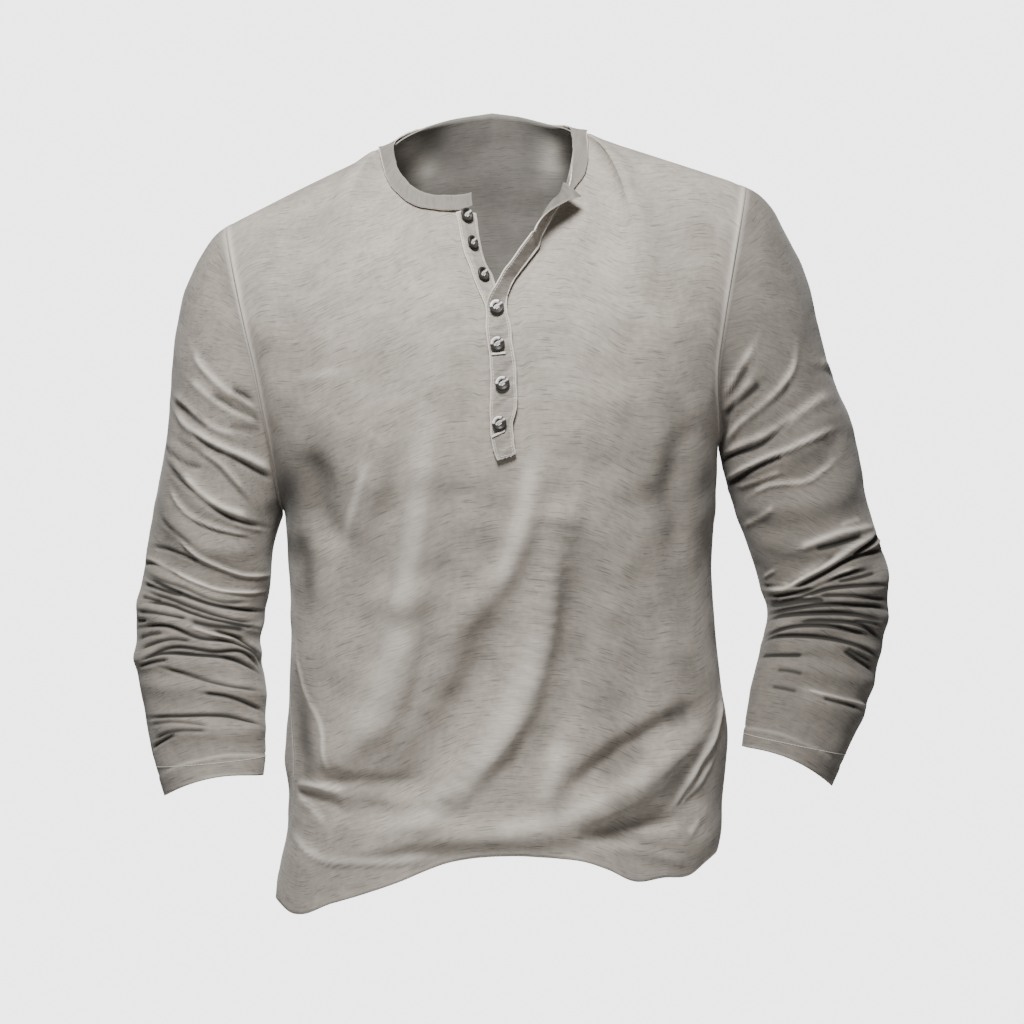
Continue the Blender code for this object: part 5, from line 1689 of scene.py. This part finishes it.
def fine_strip(own, other, lift, lean_name, top, seed):
    """Grid of a strip from its foot up to the given distance below the top of its seam."""
    rows = INSETS[lean_name]
    z = np.linspace(rows[0].z, own.height(top), STRIP_ROWS)
    up = z - z[0]
    share = np.linspace(0, 1, STRIP_COLUMNS)
    arc = np.clip(1 - up / FOOT_CORNER, 0, 1)
    corner = FOOT_CORNER * (1 - np.sqrt(1 - arc ** 2))
    low = read(rows, "sewn", z) * 0.001 + wander(z, seed) * 0.5 + corner
    high = STRIP_WIDTH[lean_name] - read(rows, "free", z) * 0.001 + wander(z, seed + 1) * 0.5
    across = low[:, None] + (high - low)[:, None] * share
    heights = z[:, None] + FOOT_SLANT[lean_name] * (1 - share) * ease(1 - up / 0.02)[:, None]
    rim = np.minimum(across - low[:, None], high[:, None] - across)
    groove = 0.00035 * bell(rim - TOPSTITCH, 0.0008)
    phase = across / 0.0035 + wander(heights, seed + 4, PUCKERS) * 4000
    bent = heights + across * 0.5 + 0.003 * np.sin(phase)
    pucker = wander(bent, seed + 2, PUCKERS) * (0.2 + 0.8 * np.sin(share * pi))
    pucker = pucker * (0.3 + 0.7 * ease((PLACKET_BREAK - heights) / 0.01))
    lifts = lift + pucker - groove + 0.0003 * ease(rim / 0.002)
    points = strip_point(own, other, heights, across, lifts, lean_name)
    if lean_name == "over":
        chosen = ease((z - ROLLS[0].z + 0.008) / 0.014)[:, None, None]
        points = points * (1 - chosen) + rolled_out(own.at(z)[0] - (0, lift, 0), z, share) * chosen
    return points


under = fine_strip(edges[-1], edges[1], UNDER_LIFT, "under", BAND_WIDTH + BAND_END_GAP, 41)
over = fine_strip(edges[1], edges[-1], OVER_FACE, "over", 0.0015, 51)
print("strips:", under.shape, over.shape, "points")

# %% [markdown]
# Trim fades more than plain jersey does, most of all along its edges.

# %% Placket cloth
def edge_wear(grid, reach=0.0012, amount=0.9):
    """Wear that fades with the distance from a grid's four edges."""
    across, along = from_hem(grid), from_side(grid)
    rim = np.minimum(across, across[:, -1:] - across)
    rim = np.minimum(rim, np.minimum(along, along[-1:] - along))
    cut = np.stack([across, along], axis=-1)
    return amount * bell(rim, reach), cut


def trim(name, grid, flip, node, depth=0.0):
    """A strip of trim as one piece of cloth, darker by the given depth away from its edges."""
    numbers = np.arange(grid.shape[0] * grid.shape[1]).reshape(grid.shape[:2])
    wear, cut = edge_wear(grid)
    patches = wander(cut[..., 1] + cut[..., 0] * 0.8, 71, ((0.031, 1.0), (0.0133, 0.6)))
    tone = -depth * (1 + 0.45 * patches) * (1 - wear)
    piece = cloth(name, [(grid, numbers, flip, cut, wear, tone)], TRIM, TRIM_WALL)
    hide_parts(node)
    declare_cut(piece, [grid])


trim("placket_under_cloth", under, True, "placket_under", 0.17)
trim("placket_over_cloth", over, False, "placket_over", 0.25)

# %% [markdown]
# ## The neckband
# The band lies round the neckline. A coarse net of stations is laid on the panels and evened out,
# so that the band bridges the shoulder seams. Smooth curves through the net give the fine grid. At
# both ends it runs on over the placket and leans with it.

# %% Neckband
BAND_SMOOTHING = 4        # rounds of averaging the band's direction round the neck
BAND_ROWS = 3
SHOULDER_STATIONS = 4     # reach of the added lift at the shoulder seams
CORNER_STATIONS = 9       # over which the band's left end turns down along the slit
END_COLUMNS = 4
STATIONS = 16             # stations between a neck point and the middle, as places on the grid
BACK_DROP = 0.003         # at the back the band's upper edge hides behind the panel's
END_REACH, END_RISE = 0.0150, 0.0045      # the end over the under strip rises to its corner


def neck_stations(grid, side, face):
    """Neckline points and outward normals of a half panel, from the neck point to the centre."""
    stations = slice(SHOULDER_COLUMNS, None, NECK_COLUMNS // STATIONS)
    return grid[stations, -1], half_normals(grid, side, face)[stations, -1]


def laid(points, normals, lifts):
    """Points moved out along their normals to the given lift over the nearest panel point."""
    gap = norm(points[:, None] - neck_points[None])
    nearest = np.argmin(gap, axis=1)
    facing = neck_normals[nearest]
    facing = facing * np.sign(np.sum(facing * normals, axis=1, keepdims=True))
    way = unit(facing + normals)
    missing = lifts - np.sum((points - neck_points[nearest]) * facing, axis=1)
    move = np.where(missing > 0, missing, missing * 0.8)[:, None] * way
    for _ in range(3):
        move[1:-1] = (move[:-2] + move[1:-1] * 2 + move[2:]) / 4
    return points + move


clouds = [(grid, half_normals(grid, side, face))
          for face, halves in (("front", whole_fronts), ("back", backs))
          for side, grid in halves.items()]
near_neck = slice(SHOULDER_COLUMNS // 3, None), slice(-30, None)
neck_points, neck_normals = (np.concatenate([pair[k][near_neck].reshape(-1, 3) for pair in clouds])
                             for k in (0, 1))
print("points near the neck:", len(neck_points))

# %% [markdown]
# The walk round the neck starts at the placket on the wearer's right, goes over the right shoulder,
# behind the neck and down to the other edge of the slit. At each station the band drops by its
# width.

# %% The net of the neckband
right_front = [part[::-1] for part in neck_stations(whole_fronts[-1], -1, "front")]
right_back = [part[1:] for part in neck_stations(backs[-1], -1, "back")]
left_back = [part[-2:0:-1] for part in neck_stations(backs[1], 1, "back")]
left_front = neck_stations(whole_fronts[1], 1, "front")
walk = (right_front, right_back, left_back, left_front)
tops = np.concatenate([part[0] for part in walk])
normals = unit(np.concatenate([part[1] for part in walk]))
down = unit(np.cross(np.gradient(tops, axis=0), normals))
inward = np.sum(down * tops * (1, 1, 0), axis=1, keepdims=True) < 0
down = np.where(inward, -down, down)
for _ in range(BAND_SMOOTHING):
    normals[1:-1] = unit(normals[:-2] + normals[1:-1] + normals[2:])
    down[1:-1] = unit(down[:-2] + down[1:-1] + down[2:])
corner = len(tops) - CORNER_STATIONS
along_slit = unit(edges[1].points[-6] - edges[1].points[-1])
turned = ease(np.arange(CORNER_STATIONS) / (CORNER_STATIONS - 1))[:, None]
down[corner:] = unit(down[corner] * (1 - turned) + along_slit * turned)

drops = np.linspace(0, BAND_WIDTH, BAND_ROWS + 1)
station = np.arange(len(tops))
freer = sum(bell(station - neck, SHOULDER_STATIONS)
            for neck in (STATIONS, len(tops) - 1 - STATIONS))
lifts = (BAND_LIFT + SHOULDER_LIFT * freer)[1:-1]
behind = ease((station - STATIONS - 3) / 4) * ease((len(tops) - STATIONS - 4 - station) / 4)
tops = tops + down * BACK_DROP * behind[:, None]
body = (tops[:, None] + down[:, None] * drops[:, None])[1:-1]
for turn in range(BAND_SMOOTHING):
    if turn > 0:
        body[1:-1] = (body[:-2] + body[1:-1] * 2 + body[2:]) / 4
    for row in range(BAND_ROWS + 1):
        body[:, row] = laid(body[:, row], normals[1:-1], lifts)
across, heights = np.meshgrid(np.linspace(PLACKET_LAP, END_REACH, END_COLUMNS),
                              edges[-1].height(drops), indexing="ij")
end = strip_point(edges[-1], edges[1], heights, across, 0 * across + BAND_LIFT, "under")
end[..., 2] += END_RISE * (across / END_REACH) ** 2
net = np.concatenate([end[::-1], body])
print("neckband net:", net.shape, "stations, rows, coordinates")

# %% [markdown]
# Smooth curves through the net make the band's fine grid. It swells a little between its edges,
# which wander as those of the strips do.

# %% Neckband cloth
BAND_COLUMNS, BAND_FINE_ROWS = 620, 13
BAND_WAVES = ((0.013, 0.0001), (0.0061, 0.00008))       # wave length, height

distance = run_length(net.mean(axis=1))
along = spline(np.linspace(0, distance[-1], BAND_COLUMNS), distance, net)
band = np.swapaxes(spline(np.linspace(0, BAND_WIDTH, BAND_FINE_ROWS), drops,
                          np.swapaxes(along, 0, 1)), 0, 1)
band_normals = -unit(np.cross(np.gradient(band, axis=0), np.gradient(band, axis=1)))
share = np.linspace(0, 1, BAND_FINE_ROWS)
round_neck = np.linspace(0, distance[-1], BAND_COLUMNS)
swell = 0.0003 * np.sin(share * pi)[None, :] + wander(round_neck, 61, BAND_WAVES)[:, None]
edge_line = wander(round_neck, 62)[:, None] * (share[None, :] - 0.5)
band_down = unit(np.gradient(band, axis=1))
band = band + band_normals * swell[..., None] + band_down * edge_line[..., None]
trim("neckband_cloth", band, True, "neckband")

# %% [markdown]
# ## Stitches
# A stitch is a short round thread with rounded tips. Rows of them run along both edges of the
# placket strips, along the neckband and two centimetres up each cuff.

# %% Thread
THREAD_RADIUS = 0.00023
RING_SIDES = 6
# Rings of a stitch: place along it, way past its end in radii, and radius as a share.
TIPS = np.array([(0, -1.0, 0.2), (0, -0.6, 0.8), (0, 0.2, 1.0),
                 (1, -0.2, 1.0), (1, 0.6, 0.8), (1, 1.0, 0.2)])


def threads(name, starts, ends, radius, material):
    """Round threads from starts to ends as one mesh."""
    run = ends - starts
    along = unit(run)
    first = unit(np.cross(along, (0.31, 0.23, 0.92)))
    second = np.cross(along, first)
    turns = np.arange(RING_SIDES) * (2 * pi / RING_SIDES)
    round_it = (first[:, None] * np.cos(turns)[None, :, None]
                + second[:, None] * np.sin(turns)[None, :, None])
    middle = (starts[:, None] + run[:, None] * TIPS[None, :, :1]
              + along[:, None] * TIPS[None, :, 1:2] * radius)
    points = middle[:, :, None] + round_it[:, None] * TIPS[None, :, None, 2:] * radius
    numbers = np.arange(len(TIPS) * RING_SIDES).reshape(len(TIPS), RING_SIDES)
    wrapped = np.concatenate([numbers, numbers[:, :1]], axis=1)
    sides = quads(wrapped, False)
    shift = np.arange(len(starts))[:, None, None] * numbers.size
    faces = (sides[None] + shift).reshape(-1, 4).tolist()
    faces += (numbers[0][::-1][None] + shift[..., 0]).tolist()
    faces += (numbers[-1][None] + shift[..., 0]).tolist()
    mesh = bpy.data.meshes.new(name)
    mesh.from_pydata(points.reshape(-1, 3).tolist(), [], faces)
    return link(name, mesh, material)


def stitch_row(line, length=0.0022, gap=0.0009):
    """Starts and ends of the stitches that lie end to end along a line."""
    distance = run_length(line)
    at = np.arange(0.0005, distance[-1] - length, length + gap)
    return spline(at, distance, line), spline(at + length, distance, line)


yarn = Finish("thread")
fibre = yarn.noise(yarn.add("ShaderNodeTexCoord", {}, output="Object"), 2600.0, 2.0)
THREAD = yarn.finish(Base_Color=yarn.mix(fibre, (0.52, 0.49, 0.43, 1.0), (0.92, 0.88, 0.80, 1.0)),
                     Roughness=0.7, Specular_IOR_Level=0.3)
print("a stitch has", len(TIPS) * RING_SIDES, "points")

# %% [markdown]
# Each row is a line on the outer face of its cloth, raised by half a thread.

# %% Rows of stitches
def outside(grid, sign):
    """A grid moved out by half a thread along its normals."""
    normals = unit(np.cross(np.gradient(grid, axis=0), np.gradient(grid, axis=1)))
    return grid + sign * normals * THREAD_RADIUS * 0.6


def across_at(grid, distance):
    """Line on a grid at a distance from its first or, if negative, its last column."""
    steps = norm(np.diff(grid, axis=1)).sum(axis=1)
    place = np.abs(distance) / steps * (grid.shape[1] - 1)
    place = np.where(distance < 0, grid.shape[1] - 1 - place, place)
    low = np.clip(place.astype(int), 0, grid.shape[1] - 2)
    rows = np.arange(len(grid))
    f = (place - low)[:, None]
    return grid[rows, low] * (1 - f) + grid[rows, low + 1] * f


rows = {}
for name, grid in (("placket_under", under), ("placket_over", over)):
    lifted = outside(grid, 1)
    rows[name] = [across_at(lifted, TOPSTITCH), across_at(lifted, -TOPSTITCH)]
foot = across_at(np.swapaxes(lifted, 0, 1), TOPSTITCH)
rows["placket_over"].append(foot[3:-3])
rows["neckband"] = [across_at(outside(band, -1), -TOPSTITCH * 0.8)]
for side, name in ((-1, "sleeve_right"), (1, "sleeve_left")):
    grid = sleeves[side]
    down = from_hem(grid)
    ring = np.argmin(np.abs((down[:, -1:] - down).mean(axis=0) - CUFF_HEM))
    around = np.roll(grid[:, ring], -1, axis=0) - np.roll(grid[:, ring], 1, axis=0)
    normal = unit(np.cross(around, grid[:, ring + 1] - grid[:, ring])) * side
    line = grid[:, ring] + normal * THREAD_RADIUS * 0.9
    rows[name] = [np.concatenate([line, line[:1]])]
for name, lines in rows.items():
    pairs = [stitch_row(line) for line in lines]
    starts, ends = (np.concatenate(part) for part in zip(*pairs))
    threads(f"{name}_stitches", starts, ends, THREAD_RADIUS, THREAD)
    print(name, "has", len(starts), "stitches")

# %% [markdown]
# ## Buttons
# A turned horn button: a raised round rim, a dished middle and four holes. Two bars of thread cross
# the dish from hole to hole. The four lower buttons are done up, and the cloth under two of them
# shows the end of its buttonhole as a short bar of thread.

# %% Buttons
# Each button's height, how far it lies aside and above its place in millimetres, and how far its
# face turns to the right of the picture and up.
Button = namedtuple("Button", "z aside above right up")
BUTTONS = table(Button, """
-0.0820 -3.5 3.0 0.10 -0.16
-0.1050 -3.0 0.5 0.16 -0.12
-0.1340 -3.0 0.0 0.10 -0.16
-0.1640  0.0 0.5 0.14 -0.10
-0.1975  3.4 2.4 0.10 -0.16
-0.2310  0.6 1.0 0.16 -0.10
-0.2660  2.6 1.4 0.08 -0.16
""")
OPEN_BUTTONS = 3          # the upper ones sit on the open under strip
# A button's half section from its middle over the rim to its back, as shares of radius and height.
DISH = ((0.0, 0.52), (0.30, 0.52), (0.50, 0.60), (0.62, 0.80), (0.73, 0.96), (0.84, 1.0),
        (0.93, 0.93), (0.99, 0.74), (1.0, 0.5), (0.97, 0.22), (0.88, 0.05), (0.70, 0.0), (0.0, 0.0))
TOP_RINGS, TURNS = 60, 80
HOLE_RADIUS, HOLE_PLACE, HOLE_DEPTH = 0.00075, 0.0013, 0.0010
THREAD_SLANT = np.radians(36)


def button_shape():
    """A button's points, ring by ring from its middle over the rim to the back, and its faces."""
    profile = np.array(DISH)
    steps = run_length(profile * (1, 0.4))
    ring = spline(np.linspace(0, steps[-1], TOP_RINGS), steps, profile)
    radius = np.clip(ring[:, 0], 0, None) * BUTTON_RADIUS
    turn = np.arange(TURNS) * (2 * pi / TURNS)
    x, y = radius[:, None] * np.cos(turn), radius[:, None] * np.sin(turn)
    height = SHANK_LENGTH + ring[:, 1:] * BUTTON_HEIGHT + 0 * x
    front = np.arange(TOP_RINGS)[:, None] < TOP_RINGS * 0.45
    for a in (-1, 1):
        for b in (-1, 1):
            gap = np.hypot(x - a * HOLE_PLACE, y - b * HOLE_PLACE)
            height = height - front * HOLE_DEPTH * ease((HOLE_RADIUS - gap) / 0.00025)
    numbers = np.arange(x.size).reshape(x.shape)
    faces = quads(np.concatenate([numbers, numbers[:, :1]], axis=1), False)
    # the pale mark is a painted highlight: the upper rim where the lamp catches it, and a bar
    # across the dish
    rim = (ease((radius - 0.52 * BUTTON_RADIUS) / 0.0006)[:, None]
           * ease((np.sin(turn) - 0.45) / 0.2))
    bar = bell(y - 0.0006, 0.0008) * ease((x + 0.0035) / 0.001)
    pale = np.stack([bar, np.maximum(bar, rim)]) * front
    return np.stack([x, y, height], axis=-1).reshape(-1, 3), faces, pale.reshape(2, -1)


def button_frames():
    """Seat and three directions of each button: thread slant, across it, and out of the cloth."""
    frames = []
    for number, button in enumerate(BUTTONS):
        if number < OPEN_BUTTONS:
            own, other, name, lift = edges[-1], edges[1], "under", UNDER_LIFT
        else:
            own, other, name, lift = edges[1], edges[-1], "over", OVER_FACE
        z = np.array(button.z + button.above * 0.001)
        middle = np.array(STRIP_WIDTH[name] / 2 + button.aside * 0.001)
        strip = strip_point(own, other, z, middle, np.array(lift), name)
        seat = strip_point(own, other, z, middle, np.array(lift + BUTTON_GAP), name)
        out = unit(unit(seat - strip) + (button.right, 0, button.up))
        right = unit(np.cross(out, (0, 0, -1.0)))
        up = np.cross(right, out)
        up = up * np.sign(up[2])
        slant = right * np.cos(THREAD_SLANT) + up * np.sin(THREAD_SLANT)
        frames.append((seat + unit(seat - strip) * 0.0003, slant, np.cross(out, slant), out))
    return frames


shape, button_faces, pales = button_shape()
frames = button_frames()
print("a button has", len(shape), "points and", len(button_faces), "faces")

# %% [markdown]
# Horn is nearly black with a fine grain. It is pale where the lamp catches it, along a bar of the
# dish and, on the closed buttons, on the upper rim: that mark is stored with the points.

# %% Horn
horn = Finish("horn")
place = horn.add("ShaderNodeTexCoord", {}, output="Object")
grain = horn.noise(horn.stretch(place, (300.0, 300.0, 900.0)), 1.0, 3.0, 0.6)
pale = horn.add("ShaderNodeAttribute", {"attribute_name": "pale"}, output="Fac")
dark_horn = horn.mix(grain, (0.008, 0.007, 0.006, 1.0), (0.060, 0.055, 0.050, 1.0))
HORN = horn.finish(Base_Color=horn.mix(pale, dark_horn, (0.95, 0.92, 0.88, 1.0)),
                   Roughness=0.42, Specular_IOR_Level=0.25)
for number, (seat, right, up, out) in enumerate(frames, start=1):
    mesh = bpy.data.meshes.new(f"button_{number}_horn")
    points = seat + shape @ np.array([right, up, out])
    mesh.from_pydata(points.tolist(), [], button_faces.tolist())
    mesh.validate()
    mark(mesh, "pale", pales[int(number > OPEN_BUTTONS)])
    piece = link(f"button_{number}_horn", mesh, HORN)
    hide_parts(f"button_{number}")
print(len(frames), "buttons of", HORN.name)

# %% [markdown]
# Four strands make each bar of thread across the dish, and a column of four threads holds the
# button off the cloth.

# %% Button threads
STRANDS = (-0.00036, -0.00012, 0.00012, 0.00036)
starts, ends = [], []
for seat, right, up, out in frames:
    level = out * (SHANK_LENGTH + 0.62 * BUTTON_HEIGHT)
    for bar in (-HOLE_PLACE, HOLE_PLACE):
        for strand in STRANDS:
            middle = seat + level + up * (bar + strand)
            starts.append(middle - right * HOLE_PLACE * 1.25)
            ends.append(middle + right * HOLE_PLACE * 1.25)
    for a, b in ((-1, 0), (1, 0), (0, -1), (0, 1)):
        foot = seat + right * a * 0.0005 + up * b * 0.0005
        starts.append(foot - out * 0.0004)
        ends.append(foot + out * (SHANK_LENGTH + 0.0002))
threads("button_threads", np.array(starts), np.array(ends), 0.00018, THREAD)
print("threads of the buttons:", len(starts))

# %% [markdown]
# Under two of the closed buttons the end of the buttonhole shows as a short slanting bar of five
# threads.

# %% Buttonhole bars
BAR_TACKS = ((4, 0.0060, 0.10), (6, 0.0078, 0.42))     # button, way below it, slant
BAR_HALF, BAR_THREADS = 0.0060, 5
starts, ends = [], []
for number, below, slant in BAR_TACKS:
    z, middle = np.array(BUTTONS[number].z - below), np.array(STRIP_WIDTH["over"] / 2 + 0.003)
    for strand in range(BAR_THREADS):
        for end, way in ((starts, -1), (ends, 1)):
            height = z + way * BAR_HALF * np.sin(slant) + (strand - 2) * 0.00034
            across = middle - way * BAR_HALF * np.cos(slant)
            end.append(strip_point(edges[1], edges[-1], height, across,
                                   np.array(OVER_LIFT + 0.0016), "over"))
threads("buttonhole_bars", np.array(starts), np.array(ends), 0.0003, THREAD)
print("bars of thread on the placket:", len(BAR_TACKS))

# %% [markdown]
# ## Light and background
# A pale backdrop stands behind the shirt and a pale floor lies below it. One broad lamp hangs high
# in front, a little to the left, so the upper chest and the crests of the folds are bright while
# the sides and the underside of each fold fall off. The room itself is a soft even grey.

# %% Lights, floor, backdrop and world
ROOM = 0.17               # brightness of the room's even light


def lamp(name, place, aim, size, power):
    """A square area lamp that looks from its place at its aim."""
    data = bpy.data.lights.new(name, "AREA")
    data.size, data.energy = size, power
    light = bpy.data.objects.new(name, data)
    light.location = place
    light.rotation_euler = (Vector(aim) - Vector(place)).to_track_quat("-Z", "Y").to_euler()
    bpy.context.scene.collection.objects.link(light)


def ground(name, corners, material):
    """A flat staged surface from its corners."""
    mesh = bpy.data.meshes.new(name)
    mesh.from_pydata(corners, [], [tuple(range(len(corners)))])
    mesh.materials.append(material)
    surface = bpy.data.objects.new(name, mesh)
    bpy.context.scene.collection.objects.link(surface)


lamp("key", (-0.14, -1.10, 1.00), (0.0, 0.0, -0.25), 0.5, 65)

world = bpy.data.worlds.new("world")
bpy.context.scene.world = world
world.use_nodes = True
background = world.node_tree.nodes["Background"]
background.inputs["Color"].default_value = (ROOM, ROOM, ROOM, 1.0)
background.inputs["Strength"].default_value = 1.0

paper = Finish("backdrop").finish(Base_Color=(0.0, 0.0, 0.0, 1.0), Roughness=1.0,
                                  Specular_IOR_Level=0.0, Emission_Color=(1.0, 1.0, 1.0, 1.0),
                                  Emission_Strength=3.72)
ground("backdrop", [(-1.9, 6.0, -2.3), (1.9, 6.0, -2.3), (1.9, 6.0, 1.6), (-1.9, 6.0, 1.6)], paper)
floor_material = Finish("floor").finish(Base_Color=(0.70, 0.70, 0.70, 1.0), Roughness=0.9)
turns = np.linspace(0, 2 * pi, 97)[:-1]
ground("floor", [(1.3 * np.cos(a), 1.3 * np.sin(a), -1.15) for a in turns], floor_material)
